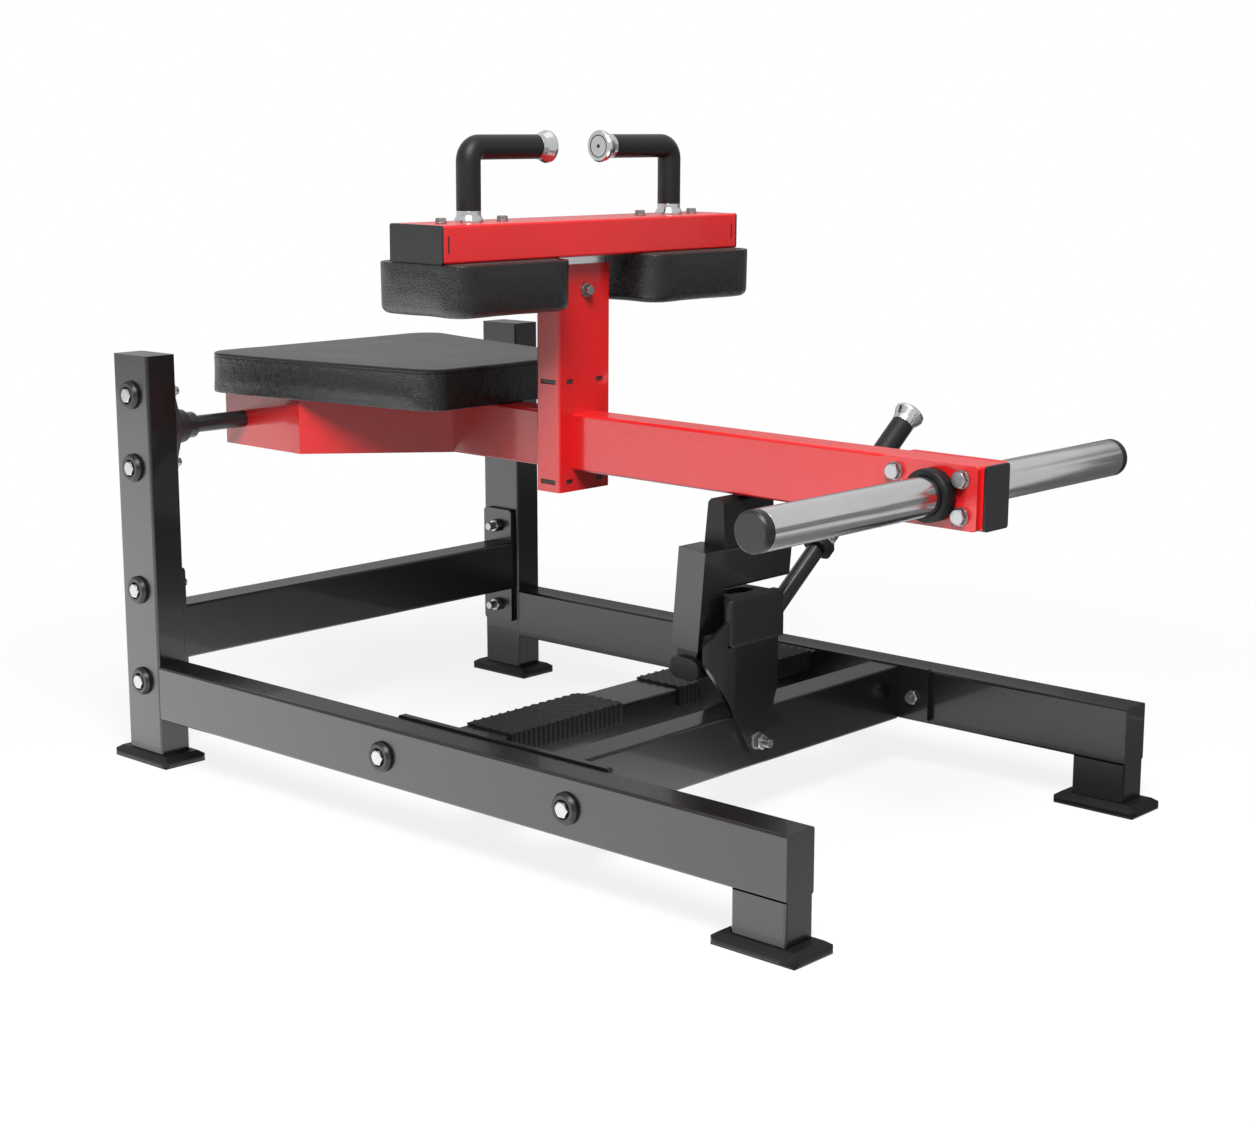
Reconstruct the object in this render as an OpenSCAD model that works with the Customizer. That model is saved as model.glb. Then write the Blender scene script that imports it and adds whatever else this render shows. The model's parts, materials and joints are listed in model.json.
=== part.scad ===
// Seated calf raise machine, plate loaded.
// Lengths are millimetres. +X points from the seat to the weight horns, +Z up, Z = 0 is the floor.
// The user sits facing +X, so the right side is -Y. X = 0 is midway between the rear and front feet.

/* [Steel tube] */
// Wide side of the main tube
tube_h = 80; // [70:1:90]
// Narrow side of the main tube
tube_w = 50; // [44:1:56]
// Wall of the main tube
tube_wall = 3; // [2:0.5:5]
// Corner radius of the main tube
tube_r = 4; // [2:0.5:6]

/* [Base frame] */
// Length over the rear posts and the front legs
frame_l = 1240; // [1100:10:1400]
// Width over the side rails
frame_w = 786; // [740:2:860]
// Height of the rear posts above the floor
post_top = 600; // [590:5:680]
// Height of a rail's underside above the floor
rail_z = 69; // [60:1:85]
// Height of a rubber foot
foot_h = 16; // [10:1:25]
// How far a foot reaches past its tube, front and back
foot_over_x = 24; // [12:1:30]
// How far a foot reaches past its tube, side to side
foot_over_y = 13; // [8:1:20]
// Thickness of the welded end plates and caps
plate_t = 9; // [5:1:10]

/* [Rear crossbeam] */
// Height of the rear crossbeam's underside
rear_beam_z = 151; // [145:1:160]
// Distance from the back of the posts to the rear crossbeam
rear_beam_x = 22; // [16:1:30]
// Height of the lower plate bolt
plate_bolt_low = 122; // [118:1:128]
// Height of the upper plate bolt
plate_bolt_high = 258; // [250:1:270]

/* [Foot platform] */
// Distance from the back of the frame to the tread beam
tread_beam_x = 643; // [620:1:665]
// Distance from the back of the frame to the front crossbeam
front_beam_x = 822; // [800:1:850]
// Height of the tops of the platform's beams
platform_z = 150; // [140:1:160]
// Length of a platform side plate
side_plate_l = 381; // [365:1:400]
// How far a side plate reaches past the front crossbeam
side_plate_over = 52; // [44:1:60]
// Thickness of a tread's rubber
tread_t = 3; // [2:0.5:5]
// Height of a tread's front skirt
skirt_h = 28; // [18:1:36]
// Length of the right tread
right_tread_l = 211; // [160:1:230]
// Length of the left tread
left_tread_l = 295; // [200:1:300]
// Distance from the mid plane to the outer end of a tread
tread_out = 313; // [300:1:325]

/* [Swing arm] */
// Height of the axle
axle_z = 490; // [480:1:520]
// Diameter of the axle
axle_d = 25; // [20:1:30]
// Distance between the two bolts of a flange bearing
bearing_bolts = 105; // [90:1:120]
// Angle by which the resting arm droops to the front
arm_droop = 0.46; // [0:0.02:0.6]
// Distance from the axle to the front end of the beam
beam_l = 1206; // [1150:1:1260]
// Width of the red box under the seat
hub_box_w = 390; // [340:2:410]
// Length of that box behind its taper
hub_box_l = 172; // [150:1:190]
// Length of the taper from the box down to the beam
hub_taper_l = 145; // [120:1:170]
// Sheet thickness of the box, the knee post and the crossbar
sheet = 3; // [2:0.5:4]

/* [Knee post] */
// Distance from the axle to the knee post
knee_x = 499; // [480:1:520]
// Depth of the knee post
knee_post_d = 45; // [40:1:48]
// Width of the knee post
knee_post_w = 102; // [90:1:114]
// Distance from the beam's centre line down to the foot of the knee post
knee_post_low = 70; // [60:1:80]
// Distance from the beam's centre line up to the top of the knee post
knee_post_high = 247; // [235:1:280]
// Bare length of the sliding tube at its lowest setting
insert_show = 12; // [8:1:30]

/* [Thigh pads] */
// Length of the crossbar
crossbar_l = 590; // [570:2:640]
// Depth of the crossbar
crossbar_d = 100; // [90:1:110]
// Height of the crossbar
crossbar_h = 50; // [46:1:60]
// Length of a thigh pad
pad_l = 221; // [200:1:230]
// Depth of a thigh pad
pad_d = 171; // [150:1:176]
// Thickness of a thigh pad at its edge
pad_h = 67; // [50:1:80]
// Distance from the mid plane to a pad's inner end
pad_in = 78; // [66:1:90]
// Corner radius of a thigh pad
pad_r = 35; // [20:1:50]
// Distance from the mid plane to a pad's inner bolt
pad_bolt_in = 138; // [125:1:150]
// Distance from the mid plane to a pad's outer bolt
pad_bolt_out = 250; // [235:1:262]

/* [Handles] */
// Distance from the mid plane to a handle's upright
handle_y = 200; // [170:1:220]
// Height of the grips' top over the crossbar
handle_h = 114; // [95:1:130]
// Outer diameter of a grip
grip_d = 33; // [30:1:36]
// Diameter of the steel bar in a grip
bar_d = 25; // [22:1:27]
// Radius of the bend, on the bar's centre line
bend_r = 19; // [18:0.5:30]
// Length of a chrome end cap
cap_l = 24; // [16:1:30]

/* [Seat] */
// Length of the seat
seat_l = 432; // [400:2:480]
// Width of the seat at its back
seat_back_w = 458; // [400:2:480]
// Width of the seat at its front
seat_front_w = 331; // [300:1:390]
// Thickness of the seat at its edge
seat_h = 59; // [45:1:70]
// Height of the seat's crown over its edge
seat_crown = 4; // [2:1:14]
// Corner radius of the seat
seat_r = 40; // [30:1:70]
// How far the seat reaches behind the rear posts, less than a foot does
seat_over = 13; // [10:1:23]
// Thickness of the boards under seat and pads
board_t = 3; // [2:0.5:6]

/* [Weight horns] */
// Diameter of a weight horn
horn_d = 50; // [48:1:50]
// Distance from the axle to the horns
horn_x = 1137; // [1120:1:1142]
// Distance from the mid plane to the end of a horn
horn_end = 386; // [330:1:420]
// Thickness of a horn's flange plate
flange_t = 8; // [6:1:12]
// Outer diameter of the rubber ring at a horn's base
ring_d = 66; // [58:1:67]
// Thickness of that ring
ring_t = 22; // [12:1:26]

/* [Catch] */
// Distance from the back of the frame to the catch's pivot
catch_x = 826; // [820:1:832]
// Height of the catch's pivot
catch_z = 219; // [214:1:226]
// Angle by which the resting catch leans to the front
catch_lean = 5.3; // [3:0.1:6]
// Side of the catch's square tube
catch_tube = 46; // [40:1:48]
// Distance from the pivot to the top of the catch's crossarm
catch_top = 159; // [150:1:166]
// Height of the crossarm
catch_arm_h = 56; // [48:1:58]
// Length of the crossarm
catch_arm_l = 182; // [176:1:190]
// Width of the rubber block that carries the beam
block_w = 104; // [80:1:110]
// Gap between the block and the resting beam
block_gap = 3; // [2.6:0.1:5]
// Diameter of the catch's shaft
shaft_d = 25; // [20:1:26]
// Angle between the release lever and the catch's upright
lever_angle = 48.3; // [44:0.1:52]
// Length of the release lever up to its end cap
lever_l = 414; // [380:1:440]
// Half width of the pivot bracket
bracket_w = 44; // [40:1:44]
// Thickness of the bracket's plates
bracket_t = 6; // [4:1:8]
// Height of the rubber bumper under the beam
bumper_h = 64; // [50:1:66]
// Width of that bumper's front
bumper_w = 116; // [90:1:117]

/* [Fasteners] */
// Thread diameter of the frame's bolts
bolt_d = 12; // [10:1:14]
// Width across flats of their heads
head_af = 19; // [17:1:22]
// Height of a head
head_h = 8; // [6:1:10]
// Diameter of a cup washer
cup_d = 41; // [34:1:44]
// Thread diameter of the small bolts
small_bolt_d = 8; // [6:1:10]
// Width across flats of the small heads
small_af = 13; // [11:1:15]

/* [Hidden] */

$fn = 48;
// Clearances: round a bolt, round a running shaft, beside a sliding or swinging piece
bolt_gap = 0.5;
run_gap = 0.05;
slide_gap = 0.4;
seat_gap = 0.3;
// Cuts run this far past a face
over = 1;

// Places along X
rear_x = -frame_l / 2;
front_x = rear_x + frame_l;
axle_x = rear_x + tube_h / 2;
tread_x = rear_x + tread_beam_x;
crossbeam_x = rear_x + front_beam_x;
platform_mid = crossbeam_x + tube_w + side_plate_over - side_plate_l / 2;
pivot_x = rear_x + catch_x;

// Places along Y, all measured outwards from the mid plane
rail_out = frame_w / 2;
rail_in = rail_out - tube_w;
plate_in = rail_in - plate_t;

// Places along Z
rail_top = rail_z + tube_h;
tread_side = tread_t + 1.5;

// Bolts of the frame: the posts carry the bearing bolts and the plate bolts
bearing_bolt_z = [axle_z - bearing_bolts / 2, axle_z + bearing_bolts / 2];
plate_bolt_z = [plate_bolt_low, plate_bolt_high];
bearing_flange_t = 14;
bearing_hub_l = 22;
bearing_disc_r = axle_d / 2 + 19.5;
bearing_hub_r = [axle_d / 2 + 15.5, axle_d / 2 + 11.5];
bearing_lobe_r = bolt_d / 2 + 9;
collar_l = 18;
collar_r = axle_d / 2 + 6.5;
rail_bolt_in = 23;
rail_bolt_x = [
    platform_mid - side_plate_l / 2 + rail_bolt_in,
    platform_mid + side_plate_l / 2 - rail_bolt_in
];
rail_bolt_z = rail_z + tube_h / 2;
cup_h = 8;
cup_seat = 2.5;
nut_h = 10;
bolt_end = 12;

// The arm is drawn with the axle at the origin and the beam along X, then laid down by its droop
box_back = -tube_h / 2;
box_front = box_back + hub_box_l;
nose_x = box_front + hub_taper_l;
beam_top = tube_h / 2;
shelf_t = 6;
shelf_high = beam_top + 42;
shelf_low = -knee_post_low + 11;
insert_top = knee_post_high + insert_show;
insert_low = shelf_high + shelf_t + slide_gap;
insert_w = knee_post_w - 2 * sheet - 2 * slide_gap;
insert_d = knee_post_d - 2 * sheet - 2 * slide_gap;
clamp_z = knee_post_high - 36;
crossbar_top = insert_top + crossbar_h;
pad_mid = pad_in + pad_l / 2;
pad_bolt_y = [pad_bolt_in, pad_bolt_out];
grip_z = crossbar_top + handle_h - grip_d / 2;
grip_end = 74;
horn_bolt_x = 49;
horn_bolt_z = 22.5;
horn_washer_r = 11.5;
horn_root_l = ring_t + 1;
horn_plate_mid = horn_x - 10;
horn_plate_l = 142;
horn_face = tube_w / 2 + flange_t;
horn_cap_l = 14;

// The catch is drawn with its pivot at the origin and its upright along Z, then leaned to the front
hub_r = 18;
hub_in = bracket_w + 2;
upright_y = hub_in + catch_tube / 2;
hub_out = hub_in + catch_tube + 3;
collar_out = hub_in + 20;
upright_low = 23;
catch_foot_mid = [4, -2];
catch_foot_l = 48;
catch_foot_h = 30;
catch_foot_r = 13;
catch_neck_w = 34;
catch_neck_in = 9;
lever_start = [hub_in + 2, 6];
lever_ring_at = 181;
block_back = 8;
block_front = catch_tube * 0.74;
block_chamfer = 5;

// Height of the resting beam's underside at distance x from the origin
function beam_under(x) =
    axle_z - (x - axle_x) * tan(arm_droop) - tube_h / 2 / cos(arm_droop);
block_top = beam_under(pivot_x + block_front) - block_gap - catch_z;

// Point of the catch, turned from its own frame into the upright one
function leaned(p) = [
    p[0] * cos(catch_lean) + p[1] * sin(catch_lean),
    -p[0] * sin(catch_lean) + p[1] * cos(catch_lean)
];

// Plain helpers

module both_sides() {
    children();
    mirror([0, 1, 0]) children();
}

// Rectangle with round corners, centred
module round_rect(w, h, r) {
    square([w - 2 * r, h], center = true);
    square([w, h - 2 * r], center = true);
    for (x = [-1, 1], y = [-1, 1]) translate([x * (w / 2 - r), y * (h / 2 - r)]) circle(r);
}

// Section of a rectangular tube, centred
module tube_section(w, h, wall = tube_wall, r = tube_r) {
    difference() {
        round_rect(w, h, r);
        square([w - 2 * wall, h - 2 * wall], center = true);
    }
}

// Extrudes a section from x0 to x1: the section's x lies along Y and its y along Z
module along_x(x0, x1) {
    translate([x0, 0, 0]) rotate([90, 0, 90]) linear_extrude(x1 - x0) children();
}

// Extrudes a section from y0 to y1: the section's x lies along X and its y along Z
module along_y(y0, y1) {
    translate([0, y1, 0]) rotate([90, 0, 0]) linear_extrude(y1 - y0) children();
}

// Round bar along Y
module bar_y(y0, y1, r) {
    translate([0, y1, 0]) rotate([90, 0, 0]) cylinder(h = y1 - y0, r = r);
}

// Plate seen from the side: drawn in X and Z, centred on the given height
module plate_xz(x0, x1, z0, z1, r) {
    translate([(x0 + x1) / 2, (z0 + z1) / 2]) round_rect(x1 - x0, z1 - z0, r);
}

// Hexagon head with a chamfered crown, standing on z = 0
module hex_head(af, h) {
    intersection() {
        cylinder(h = h, d = af / cos(30), $fn = 6);
        rotate_extrude() polygon([
            [0, 0], [af / cos(30) / 2, 0], [af / cos(30) / 2, h - af * 0.07],
            [af / 2 - af * 0.04, h], [0, h]
        ]);
    }
}

// Bolt along -Z with its head above z = 0
module hex_bolt(d, af, h, l) {
    hex_head(af, h);
    translate([0, 0, -l]) cylinder(h = l + h / 2, d = d);
}

// Bolt of the frame's left side: the head outside, the end at distance y_end from the mid plane
module side_bolt(x, z, y_end) {
    seat_y = rail_out + cup_seat;
    translate([x, seat_y, z]) rotate([-90, 0, 0]) hex_bolt(bolt_d, head_af, head_h, seat_y - y_end);
}

// Nut of the left side, its outer face on y_face
module side_nut(x, z, y_face) {
    translate([x, y_face, z]) rotate([90, 0, 0]) difference() {
        hex_head(head_af, nut_h);
        translate([0, 0, -over]) cylinder(h = nut_h + 2 * over, d = bolt_d + 2 * run_gap);
    }
}

// Hole for a frame bolt, right through the left side
module side_hole(x, z) {
    translate([x, 0, z]) bar_y(plate_in - over, rail_out + over, bolt_d / 2 + bolt_gap);
}

// Flange outline with two lobes at distance d from its middle
module lobed_plate(r_mid, r_lobe, d) {
    b = acos((r_mid - r_lobe) / d);
    circle(r_mid);
    for (s = [-1, 1]) translate([0, s * d]) circle(r_lobe);
    for (s = [-1, 1]) polygon([
        [-r_mid * sin(b), s * r_mid * cos(b)], [r_mid * sin(b), s * r_mid * cos(b)],
        [r_lobe * sin(b), s * (d + r_lobe * cos(b))], [-r_lobe * sin(b), s * (d + r_lobe * cos(b))]
    ]);
}

// Base frame

module left_post_shape() {
    difference() {
        translate([axle_x, rail_in + tube_w / 2, foot_h])
            linear_extrude(post_top - foot_h - sheet) tube_section(tube_h, tube_w);
        for (z = bearing_bolt_z) side_hole(axle_x, z);
        for (z = plate_bolt_z) side_hole(axle_x, z);
    }
}

module right_rear_post() { color("#1c1d20") mirror([0, 1, 0]) left_post_shape(); }
module left_rear_post() { color("#1c1d20") left_post_shape(); }

module post_caps() {
    color("#232428") both_sides() translate([axle_x, rail_in + tube_w / 2, post_top - sheet])
        linear_extrude(sheet) round_rect(tube_h, tube_w, tube_r);
}

module left_rail_shape() {
    difference() {
        translate([0, rail_in + tube_w / 2, rail_bolt_z])
            along_x(rear_x + tube_h, front_x - sheet) tube_section(tube_w, tube_h);
        for (x = rail_bolt_x) side_hole(x, rail_bolt_z);
    }
}

module right_side_rail() { color("#1c1d20") mirror([0, 1, 0]) left_rail_shape(); }
module left_side_rail() { color("#1c1d20") left_rail_shape(); }

module rail_end_caps() {
    color("#1a1b1e") both_sides() translate([0, rail_in + tube_w / 2, rail_bolt_z])
        along_x(front_x - sheet, front_x) round_rect(tube_w, tube_h, tube_r);
}

module front_legs() {
    color("#1c1d20") both_sides() translate([front_x - tube_h / 2, rail_in + tube_w / 2, foot_h])
        linear_extrude(rail_z - foot_h) tube_section(tube_h, tube_w);
}

// Side view of a foot: upright at the floor, sloping in to a raised rim round the tube
module foot_profile(size) {
    top = size / 2 - 10;
    polygon([
        [-size / 2 + 3, 0], [size / 2 - 3, 0], [size / 2, 4], [size / 2, foot_h * 0.5],
        [size / 2 - 3, foot_h * 0.7], [top, foot_h], [-top, foot_h],
        [-size / 2 + 3, foot_h * 0.7], [-size / 2, foot_h * 0.5], [-size / 2, 4]
    ]);
}

module foot() {
    l = tube_h + 2 * foot_over_x;
    w = tube_w + 2 * foot_over_y;
    intersection() {
        along_y(-w / 2, w / 2) foot_profile(l);
        along_x(-l / 2, l / 2) foot_profile(w);
        translate([0, 0, -over]) linear_extrude(foot_h + 2 * over) round_rect(l, w, 10);
    }
}

module rubber_feet() {
    color("#111214") both_sides() for (x = [axle_x, front_x - tube_h / 2])
        translate([x, rail_in + tube_w / 2, 0]) foot();
}

module rear_crossbeam() {
    color("#1c1d20") translate([rear_x + rear_beam_x + tube_w / 2, 0, rear_beam_z + tube_h / 2])
        along_y(-plate_in, plate_in) tube_section(tube_w, tube_h);
}

module rear_end_plates() {
    end = 28;
    color("#1a1b1e") both_sides() difference() {
        along_y(plate_in, rail_in)
            plate_xz(rear_x + 8, rear_x + tube_h - 8, plate_bolt_low - end, plate_bolt_high + end, 6);
        for (z = plate_bolt_z) side_hole(axle_x, z);
    }
}

module tread_beam() {
    color("#1c1d20") translate([tread_x + tube_h / 2, 0, platform_z - tube_w / 2])
        along_y(-plate_in, plate_in) tube_section(tube_h, tube_w);
}

module front_crossbeam() {
    color("#1c1d20") difference() {
        translate([crossbeam_x + tube_w / 2, 0, platform_z - tube_h / 2])
            along_y(-plate_in, plate_in) tube_section(tube_w, tube_h);
        bracket_bolt_hole();
    }
}

module platform_plates() {
    color("#1a1b1e") both_sides() difference() {
        along_y(plate_in, rail_in) plate_xz(
            platform_mid - side_plate_l / 2, platform_mid + side_plate_l / 2,
            platform_z - tube_h + 4, platform_z + 2, 5);
        for (x = rail_bolt_x) side_hole(x, rail_bolt_z);
    }
}

// Rubber tread from y0 to y1: a sheet on the tread beam, a ribbed skirt over its front edge,
// and slanting ribs on top that meet in a herringbone at mid length
module tread(y0, y1) {
    x0 = tread_x + 1;
    x1 = tread_x + tube_h;
    z1 = platform_z + tread_t;
    rib_h = 1.2;
    rib_step = 9;
    rib_w = 3.5;
    translate([x0, y0, platform_z]) cube([x1 - x0 + tread_side, y1 - y0, tread_t]);
    translate([x1, y0, z1 - skirt_h]) cube([tread_side, y1 - y0, skirt_h]);
    for (y = [y0 + rib_step / 2 : rib_step : y1 - rib_w])
        translate([x1 + tread_side, y, z1 - skirt_h]) cube([rib_h, rib_w, skirt_h]);
    intersection() {
        translate([x0, y0, platform_z]) cube([x1 - x0 + tread_side, y1 - y0, tread_t + rib_h]);
        for (side = [-1, 1]) translate([0, (y0 + y1) / 2, z1 - over]) intersection() {
            translate([x0, side > 0 ? 0 : -(y1 - y0) / 2, 0])
                cube([x1 - x0 + tread_side, (y1 - y0) / 2, rib_h + over]);
            for (i = [-10 : floor((y1 - y0) / 2 / rib_step / sqrt(2) / 1.2)])
                translate([x0, side * i * rib_step * sqrt(2) * 1.2, 0]) rotate([0, 0, side * 45])
                    translate([-tube_h, -rib_w / 2, 0]) cube([3 * tube_h, rib_w, rib_h + over]);
        }
    }
}

module right_tread() { color("#17181a") tread(-tread_out, -tread_out + right_tread_l); }
module left_tread() { color("#17181a") tread(tread_out - left_tread_l, tread_out); }

// Pivot bracket of the catch: two side plates that hold the shaft, a top plate under the bumper
// and a front plate that comes down over the crossbeam, with a curved wing on the right

bracket_top = catch_z + 26;
front_face = crossbeam_x + tube_w;
wing_r = 80;
wing_out = bracket_w + 57;
wing_tip_h = 34;
tongue_w = 36;
eye_r = shaft_d / 2 + 9.5;
tongue_low = platform_z - 57;
bracket_bolt_z = platform_z - 42;
bracket_back = pivot_x - eye_r + 1;

module bracket_bolt_hole() {
    translate([0, 0, bracket_bolt_z]) rotate([0, 90, 0])
        translate([0, 0, front_face - 2 * tube_wall])
        cylinder(h = 4 * tube_wall + bracket_t, r = bolt_d / 2 + bolt_gap);
}

module bracket_side() {
    difference() {
        union() {
            translate([pivot_x, catch_z]) circle(eye_r);
            polygon([
                [crossbeam_x, platform_z], [front_face, platform_z],
                [front_face, bracket_top - bracket_t], [pivot_x, bracket_top - bracket_t],
                [pivot_x - eye_r * cos(12), catch_z - eye_r * sin(12)]
            ]);
        }
        translate([pivot_x, catch_z]) circle(shaft_d / 2 + run_gap);
    }
}

// Section of the front plate, seen from above: flat, then curving back on the right
module front_strip(t) {
    translate([front_face, -bracket_w]) square([t, 2 * bracket_w]);
    translate([front_face + t - wing_r, -bracket_w]) intersection() {
        difference() {
            circle(wing_r);
            circle(wing_r - t);
        }
        rotate(-38) square([wing_r * 2, wing_r * 2]);
        translate([0, -wing_r]) square([wing_r, wing_r]);
    }
}

module catch_bracket() {
    color("#18191c") difference() {
        union() {
            both_sides() along_y(bracket_w - bracket_t, bracket_w) bracket_side();
            translate([bracket_back, -bracket_w, bracket_top - bracket_t])
                cube([front_face - bracket_back, 2 * bracket_w, bracket_t]);
            intersection() {
                linear_extrude(post_top) front_strip(bracket_t);
                along_x(rear_x, front_x) polygon([
                    [-tongue_w / 3, tongue_low], [-wing_out, bracket_top - 2],
                    [-bumper_w / 2 - 3, bracket_top + wing_tip_h],
                    [-bumper_w / 2 - 1.5, bracket_top + wing_tip_h],
                    [-bumper_w / 2 - 1.5, bracket_top], [bracket_w, bracket_top],
                    [bracket_w, platform_z + 26], [tongue_w * 2 / 3, platform_z - 20],
                    [tongue_w * 2 / 3, tongue_low + 6], [tongue_w / 2, tongue_low]
                ]);
            }
        }
        bracket_bolt_hole();
    }
}

// Rubber bumper that stops the arm's way down: narrow between the catch's arms, wide in front
// of them, with a sunk oval on top
module beam_bumper() {
    front = front_face + bracket_t + 1;
    slab = 16;
    narrow = 2 * bracket_w - 4;
    color("#141517") translate([0, 0, bracket_top]) difference() {
        intersection() {
            union() {
                translate([front - slab / 2, 0, 0]) linear_extrude(bumper_h) round_rect(slab, bumper_w, 7);
                translate([(bracket_back + front) / 2, 0, 0]) linear_extrude(bumper_h)
                    round_rect(front - bracket_back, narrow, 9);
            }
            along_x(bracket_back, front) translate([0, bumper_h / 2]) round_rect(bumper_w, bumper_h, 8);
        }
        translate([(bracket_back + front) / 2, 0, bumper_h - 5]) linear_extrude(bumper_h)
            round_rect(28, 50, 12);
    }
}

// Rubber pad between the catch's upright and the wing: the resting upright leans against it
module catch_stop_pad() {
    low = 22;
    high = 46;
    face = catch_tube / 2 + slide_gap;
    color("#101113") intersection() {
        translate([pivot_x, 0, catch_z]) along_y(-upright_y - 15, -upright_y + 9) polygon([
            leaned([face, low]), leaned([face, high]), leaned([face + 9, high + 3]),
            leaned([face + 40, high - 8]), leaned([face + 40, low])
        ]);
        translate([front_face + bracket_t - wing_r, -bracket_w, 0])
            cylinder(h = post_top, r = wing_r - bracket_t);
    }
}

module bracket_bolt() {
    color("#c9ccd0") translate([front_face + bracket_t + 2, 0, bracket_bolt_z]) rotate([0, 90, 0]) {
        translate([0, 0, -2]) difference() {
            cylinder(h = 2, d = bolt_d * 2);
            translate([0, 0, -over]) cylinder(h = 4, d = bolt_d - over);
        }
        hex_head(head_af, head_h + 2);
        translate([0, 0, -bracket_t - 2 * tube_wall])
            cylinder(h = bracket_t + 2 * tube_wall + 22, d = bolt_d);
    }
}

module bearing_housings() {
    color("#202124") both_sides() translate([axle_x, 0, axle_z]) difference() {
        union() {
            along_y(rail_in - bearing_flange_t, rail_in) lobed_plate(bearing_disc_r, bearing_lobe_r, bearing_bolts / 2);
            translate([0, rail_in - bearing_flange_t, 0]) rotate([90, 0, 0])
                cylinder(h = bearing_hub_l, r1 = bearing_hub_r[0], r2 = bearing_hub_r[1]);
        }
        bar_y(plate_in - tube_h, rail_in + over, axle_d / 2 + run_gap);
        for (s = [-1, 1]) translate([0, 0, s * bearing_bolts / 2])
            bar_y(plate_in - tube_h, rail_in + over, bolt_d / 2 + bolt_gap);
    }
}

module frame_bolts() {
    color("#d4d6d9") both_sides() {
        for (z = bearing_bolt_z)
            side_bolt(axle_x, z, rail_in - bearing_flange_t - nut_h - bolt_end / 2);
        for (z = plate_bolt_z) side_bolt(axle_x, z, plate_in - nut_h - bolt_end);
        for (x = rail_bolt_x) side_bolt(x, rail_bolt_z, plate_in - nut_h - bolt_end / 2);
    }
}

module frame_nuts() {
    color("#b9bcc0") both_sides() {
        for (z = bearing_bolt_z) side_nut(axle_x, z, rail_in - bearing_flange_t);
        for (z = plate_bolt_z) side_nut(axle_x, z, plate_in);
        for (x = rail_bolt_x) side_nut(x, rail_bolt_z, plate_in);
    }
}

// Black dish round each bolt head
module cup_washer() {
    r = cup_d / 2;
    bore = bolt_d / 2 + bolt_gap;
    rotate_extrude() polygon([
        [bore, 0], [r, 0], [r, cup_h * 0.4], [r - 3, cup_h], [head_af * 0.66, cup_h],
        [head_af * 0.62, cup_seat], [bore, cup_seat]
    ]);
}

module cup_washers() {
    color("#131416") both_sides() {
        for (z = concat(bearing_bolt_z, plate_bolt_z))
            translate([axle_x, rail_out, z]) rotate([-90, 0, 0]) cup_washer();
        for (x = rail_bolt_x)
            translate([x, rail_out, rail_bolt_z]) rotate([-90, 0, 0]) cup_washer();
    }
}

// Swing arm

module on_arm() {
    translate([axle_x, 0, axle_z]) rotate([0, arm_droop, 0]) children();
}

module axle() {
    reach = rail_in - seat_gap;
    color("#2a2b2e") on_arm() bar_y(-reach, reach, axle_d / 2);
}

module axle_collars() {
    outer = rail_in - bearing_flange_t - bearing_hub_l - seat_gap;
    color("#26272a") on_arm() both_sides() difference() {
        bar_y(outer - collar_l, outer, collar_r);
        bar_y(0, rail_in, axle_d / 2);
    }
}

// Plan of the box under the seat, or of its hollow, which is drawn in and open at the nose
module box_plan(inset) {
    half = hub_box_w / 2 - inset;
    nose = tube_w / 2 - inset;
    bend = inset * tan(atan2(half - nose, hub_taper_l) / 2);
    tip = inset > 0 ? [[nose_x + inset, -nose], [nose_x + inset, nose]] : [];
    polygon(concat(
        [[box_back + inset, -half], [box_front - bend, -half], [nose_x - bend, -nose]], tip,
        [[nose_x - bend, nose], [box_front - bend, half], [box_back + inset, half]]
    ));
}

module hub_box() {
    color("#c8191f") on_arm() difference() {
        translate([0, 0, -beam_top]) linear_extrude(tube_h) box_plan(0);
        translate([0, 0, -beam_top + sheet]) linear_extrude(tube_h - 2 * sheet) box_plan(sheet);
        bar_y(-hub_box_w, hub_box_w, axle_d / 2);
    }
}

module main_beam() {
    color("#d21a20") on_arm() difference() {
        along_x(nose_x, beam_l - 4) tube_section(tube_w, tube_h);
        for (x = [-1, 1], z = [-1, 1])
            translate([horn_plate_mid + x * horn_bolt_x, 0, z * horn_bolt_z])
                bar_y(-tube_w, tube_w, bolt_d / 2 + bolt_gap);
    }
}

module beam_end_cap() {
    color("#0f1012") on_arm() {
        along_x(beam_l - 4, beam_l) round_rect(tube_w, tube_h, tube_r);
        along_x(beam_l - 22, beam_l - 4)
            square([tube_w - 2 * tube_wall - bolt_gap, tube_h - 2 * tube_wall - bolt_gap], center = true);
    }
}

// Slots for the shelf tabs of the knee post, or the tabs themselves when gap is 0
module shelf_tabs(z, gap) {
    sunk = sheet - 1;
    reach_x = knee_post_d / 2 - (gap > 0 ? -over : sunk);
    reach_y = knee_post_w / 2 - (gap > 0 ? -over : sunk);
    tab_x = 28;
    tab_y = 13;
    translate([-tab_x / 2 - gap, -reach_y, z - gap]) cube([tab_x + 2 * gap, 2 * reach_y, shelf_t + 2 * gap]);
    for (y = [-30, 30]) translate([-reach_x, y - tab_y / 2 - gap, z - gap])
        cube([2 * reach_x, tab_y + 2 * gap, shelf_t + 2 * gap]);
}

module knee_post() {
    color("#cf1a20") on_arm() difference() {
        translate([knee_x, 0, -knee_post_low]) linear_extrude(knee_post_low + knee_post_high)
            tube_section(knee_post_d, knee_post_w, sheet, sheet + 0.5);
        along_x(knee_x - knee_post_d, knee_x + knee_post_d)
            round_rect(tube_w, tube_h, tube_r);
        translate([knee_x, 0, 0]) {
            shelf_tabs(shelf_high, slide_gap);
            shelf_tabs(shelf_low, slide_gap);
            translate([0, 0, clamp_z]) rotate([0, 90, 0])
                cylinder(h = knee_post_d, r = small_bolt_d / 2 + bolt_gap);
        }
    }
}

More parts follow.
